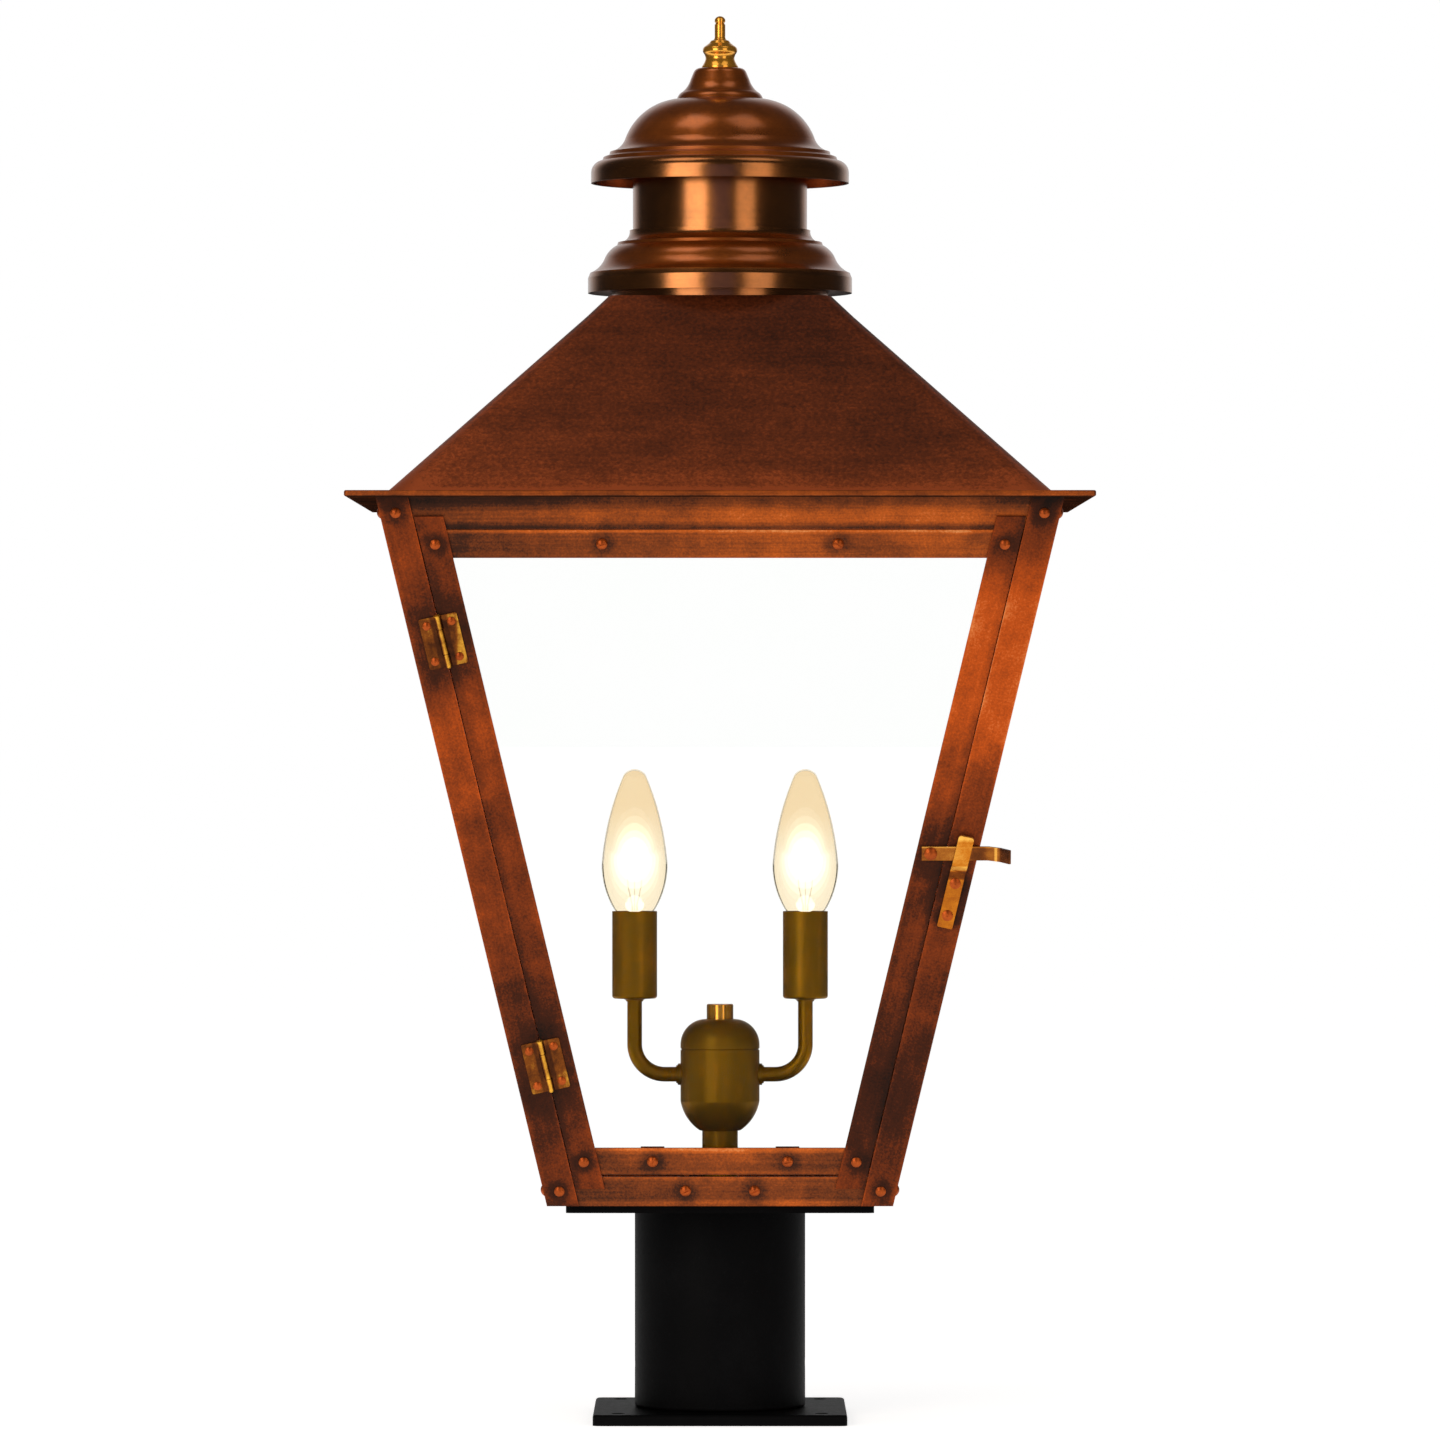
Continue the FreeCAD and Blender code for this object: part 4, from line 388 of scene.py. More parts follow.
def copper_roof(colours):
    """Folded roof: dark red-brown patina brushed level along each slope. The eye sees soft level bands, a
    sandy fine mottle, a warmer eave, painted highlights along the hips and the lower lip, and painted shade
    under the chimney."""
    material, tree, shader, place, x, y, z = new_finish("patinated_copper_roof")
    gap = apart(*mirrored(x, y))
    lines, bands, large, middle, fine = noises(
        place, (80.0, 80.0, 2.2), (160.0, 160.0, 16.0), 62.0, 20.0, 1.8)
    # painted highlights along the hips, the folds and the roof's lower lip
    hip_highlight = fading(gap, 2.0, 26.0)
    fold_highlight = fading(gap, 0.5, 3.2)
    eave = fading(z, ROOF_LOW, ROOF_LOW + 31.7)
    lip_highlight = fading(z, ROOF_LOW + 0.7, ROOF_LOW + 3.2)
    # painted shade under the chimney collar: the roof darkens towards its top
    neck = fading(z, ROOF_TOP, ROOF_TOP - 39.0)
    leftward = add(tree, "ShaderNodeMapRange", (x, -150.0, 150.0, 1.0, -1.0))
    level = total(0.5, (large, 0.5), (middle, 0.35), (fine, 1.1), (lines, 0.3), (bands, 0.55),
                  (hip_highlight, 0.14, 0.0), (fold_highlight, 0.22, 0.0), (eave, 0.33, 0.0), (lip_highlight, 0.25, 0.0),
                  (neck, -0.22, 0.0), (leftward, 0.11, 0.0))
    stops = [(position, Vector(colours.roof_sheet) * share)
             for position, share in ((0.0, 0.22), (0.3, 0.55), (0.52, 1.0), (0.75, 1.75), (1.0, 3.2))]
    plug(shader, {
        "Base Color": add(tree, "ShaderNodeValToRGB", (level,), stops=stops),
        "Metallic": add(tree, "ShaderNodeMapRange", (level, 0.1, 0.9, 0.3, 0.7)),
        "Roughness": total(0.42, (fine, 0.16, 0.0)),
        "Specular IOR Level": 0.25})
    surface(shader, 0.07, fine, lines)
    return material


def copper_eave(colours):
    """Eave plate: the roof's sheet with a painted highlight along its cut edge all round, and painted shade
    on its underside.
    """
    material, tree, shader, place, x, y, z = new_finish("patinated_copper_eave")
    reach = add(tree, "ShaderNodeMath", mirrored(x, y), operation="MAXIMUM")
    lines, large, middle, fine = noises(place, (50.0, 50.0, 1.0), 45.0, 12.0, 1.2)
    # painted highlight along the plate's edge
    rim_highlight = fading(reach, EAVE_HALF, EAVE_HALF - 3.2)
    # painted shade on the plate's underside
    under = fading(z, BODY_TOP, BODY_TOP + 0.8)
    level = total(0.46, (large, 0.6), (middle, 0.4), (fine, 0.3), (lines, 0.3), (rim_highlight, 0.14, 0.0),
                  (under, -0.24, 0.0))
    finish_copper(shader, level, colours, fine, lines, cast=(1.0, 1.3, 1.6))
    # the underside is painted shade: darker, with no metal and no shine
    plug(shader, {"Metallic": total(0.65, (under, -0.65, 0.0)), "Specular IOR Level": 0.0})
    return material


def copper_spun(colours):
    """Neck, collar, cap and finial seat: copper spun on a lathe, darkened, buffed and lacquered. The eye sees
    fine level rings, soft smoky bands and sharp bright and dark reflections."""
    material, tree, shader, place, x, y, z = new_finish("spun_lacquered_copper")
    flat = add(tree, "ShaderNodeCombineXYZ", (x, y, 0.0))
    radius = add(tree, "ShaderNodeVectorMath", (flat,), "Value", operation="LENGTH")
    turned = add(tree, "ShaderNodeCombineXYZ", (radius, 0.0, z))
    rings, smoky = noises(turned, (0.7, 1.0, 0.7), (9.0, 1.0, 7.0))
    large, middle, fine = noises(place, 34.0, 11.0, 1.3)
    level = total(0.55, (rings, 0.2), (smoky, 0.4), (large, 0.7), (middle, 0.42), (fine, 0.22))
    # the neck and the upright rims were buffed bright again; domes and ogees kept their red patina
    buffed = 0.0
    for centre, reach in BUFFED_BANDS:
        band = fading(apart(z, centre), reach, reach + 2.5)
        buffed = add(tree, "ShaderNodeMath", (band, buffed), operation="MAXIMUM")
    shares = ((0.0, 0.25), (0.35, 0.65), (0.6, 1.0), (1.0, 1.5))
    tints = [add(tree, "ShaderNodeValToRGB", (level,),
                 stops=[(position, Vector(metal) * share) for position, share in shares])
             for metal in (colours.spun_metal, colours.buffed_metal)]
    plug(shader, {
        "Base Color": add(tree, "ShaderNodeMix", {0: buffed, 6: tints[0], 7: tints[1]}, 2, data_type="RGBA"),
        "Metallic": total(0.84, (buffed, 0.15, 0.0)),
        "Roughness": total(0.22, (large, 0.12, 0.0), (buffed, -0.07, 0.0), (fine, 0.03, 0.0)),
        "Specular IOR Level": 0.3, "Coat Weight": 0.7, "Coat Roughness": 0.2})
    surface(shader, 0.004, fine, rings)
    return material


def blotched(name, stops, start, layers, rough, depth, felt, sockets, bands=()):
    """A finish of blotches and lines. A layer is a noise's size and its weight in the tone; rough is a
    layer's number, its spread and the least roughness; felt are the layers in relief. A band is an axis
    (e is the way in from the body's edge), its middle, its half width and how much brighter it is."""
    material, tree, shader, place, *along = new_finish(name)
    made = noises(place, *[size for size, _ in layers])
    parts = [(noise, weight) for noise, (_, weight) in zip(made, layers) if weight]
    if any(band[0] == "e" for band in bands):
        along.append(frame_patterns(*along)[0])
    for axis, centre, reach, weight in bands:
        away = apart(along["xyze".index(axis)], centre)
        parts.append((fading(away, reach * 0.4, reach), weight, 0.0))
    level = total(start, *parts)
    layer, spread, least = rough
    plug(shader, {"Base Color": add(tree, "ShaderNodeValToRGB", (level,), stops=stops),
                  "Roughness": total(least, (made[layer], spread, 0.0)), **sockets})
    surface(shader, depth, *[made[number] for number in felt])
    return material


def brass(name, stops, start, grain, roughness, depth, wear, bands=(), lacquer=0.0):
    """Cut or turned brass: tarnish pools in blotches and the grain shows where it was rubbed."""
    layers = [(14.0, wear), (4.0, wear * 0.3), (0.9, wear * 0.3), (grain, wear * 0.25)]
    sockets = {"Metallic": 0.82, "Specular IOR Level": 0.3, "Coat Weight": lacquer, "Coat Roughness": 0.14}
    return blotched(name, stops, start, layers, (1, 0.18, roughness - 0.09), depth, (2, 3), sockets, bands)


def antique_cluster(colours):
    """Stem, hub, arms and candle covers: brass tube and castings in an olive antique finish under satin
    lacquer. The eye sees upright rusty streaks, a fine sandy grain and green-black edges."""
    stops = [(0.0, "#483602"), (0.35, "#7C5A02"), (0.55, colours.antique_brass), (0.75, "#C47A0A"),
             (1.0, "#E08E20")]
    layers = [((5.5, 5.5, 90.0), 0.6), ((0.9, 0.9, 22.0), 0.2), (20.0, 0.35), (6.0, 0.25), (0.9, 0.45)]
    return blotched("antique_brass_satin", stops, 0.52, layers, (4, 0.15, 0.36), 0.03, (4, 1),
                    {"Metallic": 0.65, "Specular IOR Level": 0.05})


def bright_rivets():
    """Rivets and slotted screws: solid copper set after the patina, so bright heads with a little oxide."""
    stops = [(0.0, "#441606"), (0.35, "#883A12"), (0.65, "#BC561C"), (1.0, "#F09840")]
    return blotched("bright_copper_heads", stops, 0.55, [(9.0, 0.55), (2.6, 0.25), (0.8, 0.25)],
                    (1, 0.16, 0.3), 0.01, (2,), {"Metallic": 0.8, "Specular IOR Level": 0.4})


def black_powder(colours):
    """Foot, sleeve and top plate: satin black powder coat on cast aluminium. The eye sees an even near-black
    with a fine orange-peel skin and a little dust grey in soft patches."""
    coat = Vector(colours.black_coat)
    return blotched("black_powder_coat", [(0.0, coat * 0.55), (0.5, coat), (1.0, coat * 2.2)], 0.5,
                    [(40.0, 0.9), (2.4, 0.3), (0.8, 0.4)], (1, 0.2, 0.38), 0.05, (1, 2),
                    {"Specular IOR Level": 0.03})


def plated_steel():
    """Screws, nuts and centre rod: zinc-plated steel, pale grey with a bluish cast and turning lines."""
    return blotched("zinc_plated_steel", [(0.0, "#7C8086"), (0.5, "#B9BEC3"), (1.0, "#E2E4E2")], 0.5,
                    [(9.0, 0.6), (3.0, 0.5), ((1.2, 1.2, 0.6), 0.5), (0.8, 0.0)], (1, 0.2, 0.28), 0.02, (3,),
                    {"Metallic": 1.0})


def lampholder_ceramic():
    """Lampholders: glazed steatite, off-white with a soft gloss and small firing specks."""
    return blotched("glazed_steatite", [(0.0, "#C9C2AE"), (0.5, "#E8E3D4"), (1.0, "#F4F1E8")], 0.5,
                    [(12.0, 0.6), (3.0, 0.0), (0.7, 0.6)], (1, 0.2, 0.15), 0.04, (1,), {})


def glass(name, stops, sizes, haze, depth, ior, flow=None):
    """Clear glass: faint tint, patches of slight haze and a slow wave. Blown bulbs have flow lines in place
    of the wave, and their tint is painted nearly white beside the filament as painted glow, warming to the
    tip."""
    material, tree, shader, place, _, _, z = new_finish(name)
    level, small = noises(place, *sizes)
    wave = level
    if flow:
        wave, = noises(place, flow)
        rise = fading(z, BULB_SHOULDER, BULB_WIDEST)
        level = total(0.0, (rise, 1.0, 0.0), (level, 0.5), (wave, 0.4))
    plug(shader, {
        "Base Color": add(tree, "ShaderNodeValToRGB", (level,), stops=stops),
        "Roughness": add(tree, "ShaderNodeMapRange", (small, 0.45, 0.75, 0.0, haze)),
        "Transmission Weight": 1.0, "IOR": ior})
    surface(shader, depth, wave)
    return material


def hot_filament():
    """Tungsten coil at working heat: bright warm white along the wire, a little duller in places."""
    material, tree, shader, place, *_ = new_finish("hot_tungsten")
    large, fine = noises(place, 4.0, 0.5)
    level = total(0.6, (large, 0.6), (fine, 0.3))
    tint = add(tree, "ShaderNodeValToRGB", (level,),
               stops=[(0.0, "#FFD9A0"), (0.5, "#FFEFD2"), (1.0, "#FFFAF0")])
    plug(shader, {"Base Color": tint, "Roughness": 0.5, "Emission Color": tint, "Emission Strength": 6.0})
    surface(shader, 0.02, fine)
    material.cycles.emission_sampling = "NONE"
    return material


def lit_air(colour, name, alpha, strength):
    """The bright light round the filament, as a camera sees it: a soft warm white that thins outwards."""
    material, tree, shader, place, *_ = new_finish(name)
    veil = add(tree, "ShaderNodeMapRange", (*noises(place, 7.0), 0.3, 0.7, alpha * 0.8, alpha * 1.2))
    plug(shader, {"Base Color": paint(0.0), "Specular IOR Level": 0.0, "Roughness": 1.0,
                  "Emission Color": paint(colour), "Emission Strength": strength, "Alpha": veil})
    material.cycles.emission_sampling = "NONE"
    return material


def sight_lines(tree):
    """Whether the eye sees a thing straight or through glass, whether it sees it mirrored, and the rays."""
    rays = add(tree, "ShaderNodeLightPath").node.outputs
    straight = add(tree, "ShaderNodeMath", (rays["Is Camera Ray"], rays["Is Transmission Ray"]),
                   operation="MAXIMUM")
    scattered = rays["Diffuse Depth"]
    turns = add(tree, "ShaderNodeMath", (scattered, rays["Glossy Depth"]), operation="ADD")
    unturned, even = (add(tree, "ShaderNodeMath", (value, 0.5), operation="LESS_THAN")
                      for value in (turns, scattered))
    seen = add(tree, "ShaderNodeMath", (straight, unturned), operation="MULTIPLY")
    behind = add(tree, "ShaderNodeMath", (rays["Glossy Depth"], 0.5), operation="GREATER_THAN")
    shiny = add(tree, "ShaderNodeMath", (behind, rays["Is Glossy Ray"]), operation="MAXIMUM")
    shiny = add(tree, "ShaderNodeMath", (shiny, even), operation="MULTIPLY")
    return seen, shiny, rays


def studio_floor():
    """Pale matt paper sweep: near-white, and white to the eye where no shadow falls."""
    material, tree, shader, place, *_ = new_finish("pale_studio_floor")
    away = add(tree, "ShaderNodeVectorMath", (place,), "Value", operation="LENGTH")
    near = fading(away, FLOOR_NEAR, FLOOR_FAR)
    seen, shiny, rays = sight_lines(tree)
    # metal sees the bright floor round the lantern and the dim floor of the room beyond it
    close = add(tree, "ShaderNodeMath", (shiny, near), operation="MULTIPLY")
    lit = add(tree, "ShaderNodeMath", (seen, close), operation="MAXIMUM")
    lit = add(tree, "ShaderNodeMath", (lit, FLOOR_GLOW), operation="MULTIPLY")
    # through glass the far floor counts as dim paper, so it gets the whole of its white from the glow
    clear = add(tree, "ShaderNodeMath", (rays["Is Camera Ray"], near), operation="MAXIMUM")
    clear = add(tree, "ShaderNodeMath", (seen, clear), operation="SUBTRACT")
    dim = add(tree, "ShaderNodeMath", (shiny, close), operation="SUBTRACT")
    paper = add(tree, "ShaderNodeMix", {0: dim, 6: paint(0.8), 7: paint(0.08)}, 2, data_type="RGBA")
    plug(shader, {
        "Base Color": paper, "Roughness": 0.9, "Specular IOR Level": 0.0, "Emission Color": paint(1.0),
        "Emission Strength": add(tree, "ShaderNodeMath", (lit, clear), operation="MAXIMUM")})
    material.cycles.emission_sampling = "NONE"
    return material


def dress(material, *names):
    """Gives CAD nodes their finish."""
    for name in names:
        slots = NODES[name].data.materials
        slots.clear()
        slots.append(material)


# ------------------------------------------------------------------ modelling
def deselect():
    """Leaves nothing selected and no object in edit mode."""
    if bpy.context.object and bpy.context.object.mode != "OBJECT":
        bpy.ops.object.mode_set(mode="OBJECT")
    bpy.ops.object.select_all(action="DESELECT")


def activate(piece):
    """Selects only this piece and makes it active."""
    deselect()
    piece.select_set(True)
    bpy.context.view_layer.objects.active = piece


def settled():
    """The active piece, with its place, turn and size put into its mesh."""
    bpy.ops.object.transform_apply(location=True, rotation=True, scale=True)
    return bpy.context.object


def pick(piece, test, domain="FACE"):
    """Selects just the faces or vertices that pass the test, in edit mode."""
    bpy.ops.object.mode_set(mode="EDIT")
    bpy.ops.mesh.select_mode(type=domain)
    bpy.ops.mesh.select_all(action="DESELECT")
    bpy.ops.object.mode_set(mode="OBJECT")
    items = piece.data.polygons if domain == "FACE" else piece.data.vertices
    for item in items:
        item.select = test(item)
    bpy.ops.object.mode_set(mode="EDIT")


def finished(piece, name, material, body):
    """Names the piece, puts its place into its mesh, gives it its finish and lets it ride its body."""
    activate(piece)
    settled()
    bpy.ops.object.shade_smooth_by_angle(angle=math.radians(40))
    piece.name = name
    piece.data.name = name
    piece.data.materials.clear()
    piece.data.materials.append(material)
    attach(piece, body)


def joined(pieces):
    """Joins the pieces into the first one."""
    activate(pieces[0])
    for piece in pieces:
        piece.select_set(True)
    bpy.ops.object.join()
    return bpy.context.object


def copy_of(piece, step):
    """A copy with its own mesh, moved by the step."""
    activate(piece)
    bpy.ops.object.duplicate(linked=False)
    bpy.ops.transform.translate(value=step)
    return settled()


def wire(radius, points):
    """A round wire along the points in metres, with closed ends."""
    deselect()
    low, high = Vector(points[0]), Vector(points[1])
    heading = (high - low).normalized()
    bpy.ops.mesh.primitive_cylinder_add(vertices=12, radius=radius, depth=0.0002, location=low,
                                        rotation=(high - low).to_track_quat("Z", "Y").to_euler())
    piece = settled()
    pick(piece, lambda face: face.normal.dot(heading) > 0.9)
    for start, end in zip(points, points[1:]):
        step = Vector(end) - Vector(start)
        bpy.ops.mesh.extrude_region_move(TRANSFORM_OT_translate={"value": step})
    bpy.ops.object.mode_set(mode="OBJECT")
    return piece


def glass_stem(x):
    """The pressed glass mount that holds the leads: a flared foot, a tube and a flattened pinch."""
    deselect()
    bpy.ops.mesh.primitive_cylinder_add(vertices=32, radius=0.0041, depth=0.0012, location=(x, 0, STEM_LOW))
    piece = settled()
    pick(piece, lambda face: face.normal.z > 0.9)
    for rise, wide, deep in (
            (0.002, 0.86, 0.86), (0.002, 0.72, 0.72), (0.004, 0.8, 0.8), (0.008, 0.96, 0.96),
            (0.0025, 0.97, 0.62), (0.0030, 0.97, 0.9), (0.0008, 0.97, 0.7)):
        bpy.ops.mesh.extrude_region_move(TRANSFORM_OT_translate={"value": (0, 0, rise)})
        bpy.ops.transform.resize(value=(wide, deep, 1))
    bpy.ops.mesh.select_all(action="SELECT")
    bpy.ops.mesh.bevel(offset=0.0002, segments=2, affect="EDGES")
    bpy.ops.object.mode_set(mode="OBJECT")
    return piece


def coil(low, high, radius, turns):
    """One leg of the filament: a fine wire wound from low to high by the screw modifier."""
    deselect()
    bpy.ops.mesh.primitive_circle_add(
        vertices=8, radius=radius * 0.3, location=(radius, 0, 0), rotation=(math.pi / 2, 0, 0))
    piece = settled()
    winding = piece.modifiers.new("winding", "SCREW")
    winding.angle = 2 * math.pi
    winding.screw_offset = (high - low).length / turns
    winding.iterations = turns
    winding.steps = winding.render_steps = 12
    bpy.ops.object.modifier_apply(modifier="winding")
    pick(piece, lambda vertex: False, "VERT")
    bpy.ops.mesh.select_non_manifold()
    bpy.ops.mesh.edge_face_add()
    bpy.ops.mesh.select_all(action="SELECT")
    bpy.ops.mesh.normals_make_consistent(inside=False)
    bpy.ops.object.mode_set(mode="OBJECT")
    piece.rotation_euler = (high - low).to_track_quat("Z", "Y").to_euler()
    piece.location = low
    return settled()


def glow_shell(centre, width, height):
    """A closed drop of light: round below and drawn out above, as heat and glass spread it."""
    deselect()
    bpy.ops.mesh.primitive_uv_sphere_add(segments=40, ring_count=24, radius=0.5, location=centre)
    piece = bpy.context.object
    piece.scale = (width, width, height)
    settled()
    top = centre[2] + height * 0.12
    pick(piece, lambda vertex: vertex.co.z > top, "VERT")
    bpy.ops.transform.resize(value=(0.86, 0.86, 1.0))
    bpy.ops.object.mode_set(mode="OBJECT")
    return piece


class LANTERN_OT_frame_finish(bpy.types.Operator):
    """Oiled copper on the posts, rails, door, eave and floor pan"""
    bl_idname = "lantern.frame_finish"
    bl_label = "Finish the copper frame"

    def execute(self, context):
        colours = context.scene.lantern_patina
        dress(copper_posts(colours), "corner_post_front_left", "corner_post_front_right",
              "corner_post_back_left", "corner_post_back_right", "door_stile_left", "door_stile_right")
        dress(copper_rails(colours), "header_rails", "sill_rails", "door_rail_top", "door_rail_bottom")
        dress(copper_inside(colours), "floor_pan", "pane_clips", "door_clips")
        dress(copper_eave(colours), "eave_plate")
        dress(bright_rivets(), "frame_rivets", "sill_screws", "door_screws", "door_rivets")
        return {"FINISHED"}


class LANTERN_OT_roof_finish(bpy.types.Operator):
    """Patinated roof and spun chimney"""
    bl_idname = "lantern.roof_finish"
    bl_label = "Finish roof and chimney"

    def execute(self, context):
        colours = context.scene.lantern_patina
        dress(copper_roof(colours), "roof")
        dress(copper_spun(colours), "chimney_neck", "chimney_collar", "chimney_cap", "finial_seat",
              "chimney_bridge")
        return {"FINISHED"}


class LANTERN_OT_brass_finish(bpy.types.Operator):
    """Hinges, latch, finial and lamp cluster"""
    bl_idname = "lantern.brass_finish"
    bl_label = "Finish the brass"

    def execute(self, context):
        # cut brass strip, aged: brown tarnish with yellow high spots; the bands paint highlights along the
        # leaves' top edges, a leaf edge and the knuckle, and shade in the grooves beside the knuckle
        upper, lower = (height + HINGE_HALF for height in HINGE_Z)
        hinges = brass(
            "aged_brass_hinges", [(0.0, "#241006"), (0.35, "#4E260C"), (0.6, "#804412"), (1.0, "#F0B03A")],
            0.44, (1.2, 1.2, 9.0), 0.3, 0.02, 1.0,
            [("z", upper, 2.2, 0.2), ("z", lower, 2.2, 0.1), ("x", -129.0, 4.0, 0.34), ("x", -79.0, 4.0, 0.1),
             ("e", SEAM, 1.3, 0.36), ("e", SEAM + 3.0, 1.8, -0.2), ("e", SEAM - 3.0, 1.8, -0.2)])
        dress(hinges, "hinge_frame_leaves", "hinge_door_leaves")
        # brass strip rubbed by fingers, golden; the bands paint a highlight along its top edge and above the
        # bend, and shade under the bend
        latch = brass(
            "rubbed_brass_latch", [(0.0, "#5A2808"), (0.35, "#A05412"), (0.6, "#CC781A"), (1.0, "#FFC458")],
            0.5, (12.0, 12.0, 0.8), 0.28, 0.02, 0.7,
            [("z", LATCH_Z + 8.8, 4.0, 0.45), ("z", LATCH_Z - 0.2, 9.0, 0.12), ("z", LATCH_Z - 8.0, 1.6, 0.3),
             ("z", LATCH_Z - 11.4, 2.8, -0.42)])
        dress(latch, "keeper")
        # the strap went through the patina bath: brown brass with orange rubbed patches; the bands paint a
        # highlight line and shade on the bent finger tab and a highlight along its top edge
        strap = brass(
            "browned_brass_strap", [(0.0, "#3A1C0A"), (0.35, "#743C14"), (0.6, "#A4601E"), (1.0, "#E8A848")],
            0.5, (12.0, 12.0, 0.8), 0.26, 0.02, 0.8,
            [("x", 138.6, 0.9, 0.6), ("x", 143.2, 3.6, -0.35), ("x", 130.0, 5.0, -0.18),
             ("z", LATCH_Z + 3.4, 1.3, 0.3)])
        dress(strap, "latch_strap")
        dress(bright_rivets(), "latch_pivot")
        # drawn brass rod, rubbed bright on its buttons
        pins = brass(
            "bright_brass_pins", [(0.0, "#5A2C0C"), (0.35, "#A86C1C"), (0.6, "#DC9C30"), (1.0, "#FFD868")],
            0.55, (1.0, 1.0, 6.0), 0.26, 0.01, 0.7)
        dress(pins, "hinge_pins")
        # turned and polished brass: clear yellow with sharp reflections
        polished = brass(
            "polished_turned_brass", [(0.0, "#A86008"), (0.4, "#F09A20"), (0.7, "#FFB63C"), (1.0, "#FFD476")],
            0.62, (9.0, 9.0, 0.5), 0.2, 0.0005, 0.1, lacquer=0.6)
        dress(polished, "finial", "hub_nut")
        dress(antique_cluster(context.scene.lantern_patina), "stem_pipe", "hub_body", "hub_cover",
              "arm_left", "arm_right", "candle_cover_left", "candle_cover_right")
        return {"FINISHED"}


class LANTERN_OT_base_finish(bpy.types.Operator):
    """Black foot, sleeve and plate, and the steel fasteners"""
    bl_idname = "lantern.base_finish"
    bl_label = "Finish base and steel"

    def execute(self, context):
        dress(black_powder(context.scene.lantern_patina), "base_flange", "foot_ring", "post_sleeve",
              "top_plate")
        dress(plated_steel(), "set_screws", "case_screws", "cluster_locknuts", "rod_nuts", "centre_rod")
        return {"FINISHED"}


class LANTERN_OT_glazing(bpy.types.Operator):
    """Clear glass in the body and the door"""
    bl_idname = "lantern.glazing"
    bl_label = "Glaze the body"

    def execute(self, context):
        # float glass: almost colourless, with a faint green cast. Its IOR is low because thin clean panes
        # show no veil over the lamps
        stops = [(0.3, "#FEFFFE"), (0.7, "#FFFFFF")]
        clear = glass("clear_float_glass", stops, (90.0, 15.0), 0.01, 0.01, 1.1)
        dress(clear, "pane_left", "pane_right", "pane_back", "door_glass")
        return {"FINISHED"}


class LANTERN_OT_bulbs(bpy.types.Operator):
    """Lit candle bulbs with their glass, caps, mounts and filaments"""
    bl_idname = "lantern.bulbs"
    bl_label = "Light the bulbs"

    def execute(self, context):
        sizes = context.scene.lantern_bulbs
        # blown soda glass with a warm cream cast at the tip; beside the filament the glass is painted nearly
        # white as painted glow. So thin a wall hardly bends light, hence the low IOR
        bulb = glass("blown_bulb_glass", [(0.0, sizes.glow_whitened_tint), (1.0, sizes.tip_tint)], (22.0, 6.0),
                     0.03, 0.05, 1.03, (7.0, 7.0, 60.0))
        # pressed glass, a little hazy where the leads go in
        stops = [(0.3, "#FFF6E4"), (0.7, "#FFFFFF")]
        mount = glass("pressed_stem_glass", stops, (5.0, 5 / 6), 0.1, 0.05, 1.4)
        # drawn nickel-plated wire: warm grey
        leads = brass("nickel_lead_wire", [(0.0, "#6E6455"), (0.5, "#A89C88"), (1.0, "#DDD2BE")],
                      0.5, (1.0, 1.0, 3.0), 0.3, 0.01, 0.6)
        # screw cap rolled from thin brass: pale straw yellow
        cap = brass(
            "rolled_cap_brass", [(0.0, "#6A5226"), (0.4, "#B89A5C"), (0.7, "#D8C08A"), (1.0, "#F2E2BA")],
            0.55, (6.0, 6.0, 0.7), 0.28, 0.02, 0.6)
        hot = hot_filament()
        veils = [lit_air(sizes.glow_colour, f"filament_light_{i}", *glow) for i, glow in enumerate(GLOWS, 1)]
        ceramic = lampholder_ceramic()
        first = self.mount_parts(sizes, -LAMP_X)
        for word in ("left", "right"):
            dress(bulb, "bulb_glass_" + word)
            dress(cap, "bulb_base_" + word)
            dress(ceramic, "socket_" + word)
            body = "bulb_" + word
            made = first if word == "left" else [copy_of(piece, (2 * LAMP_X, 0, 0)) for piece in first]
            stem, wires, coils, *shells = made
            finished(stem, "stem_" + word, mount, body)
            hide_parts("filament_" + word)
            finished(wires, "lead_wires_" + word, leads, body)
            finished(coils, "filament_coil_" + word, hot, body)
            for i, (shell, veil) in enumerate(zip(shells, veils), 1):
                finished(shell, f"filament_light_{word}_{i}", veil, body)
        return {"FINISHED"}

    def mount_parts(self, sizes, x):
        """Stem, wires, filament and light of one bulb."""
        stem = glass_stem(x)
        rises = ((0.0009, LEAD_LOW), (0.0011, 0.2640), (0.0034, 0.2740), (COIL_OUT, COIL_LOW + 0.0002))
        wires = [wire(sizes.lead_radius, [(x + turn * out, 0, z) for out, z in rises]) for turn in (-1, 1)]
        hook = [(x, 0, LEAD_LOW), (x, 0.0006, 0.2700), (x, 0.0008, COIL_TOP + 0.0005)]
        wires = joined([*wires, wire(sizes.lead_radius * 0.8, hook)])
        top = Vector((x, 0.0008, COIL_TOP))
        legs = joined([coil(Vector((x + turn * COIL_OUT, 0, COIL_LOW)), top, sizes.coil_radius,
                            sizes.coil_turns) for turn in (-1, 1)])
        shells = [glow_shell((x, 0, GLOW_Z), sizes.glow_width * wide, sizes.glow_height * high)
                  for wide, high in GLOW_SHARES]
        shells.append(glow_shell((x, 0, BASE_GLOW_Z), sizes.glow_width * 0.34, sizes.glow_height * 0.17))
        return [stem, wires, legs, *shells]


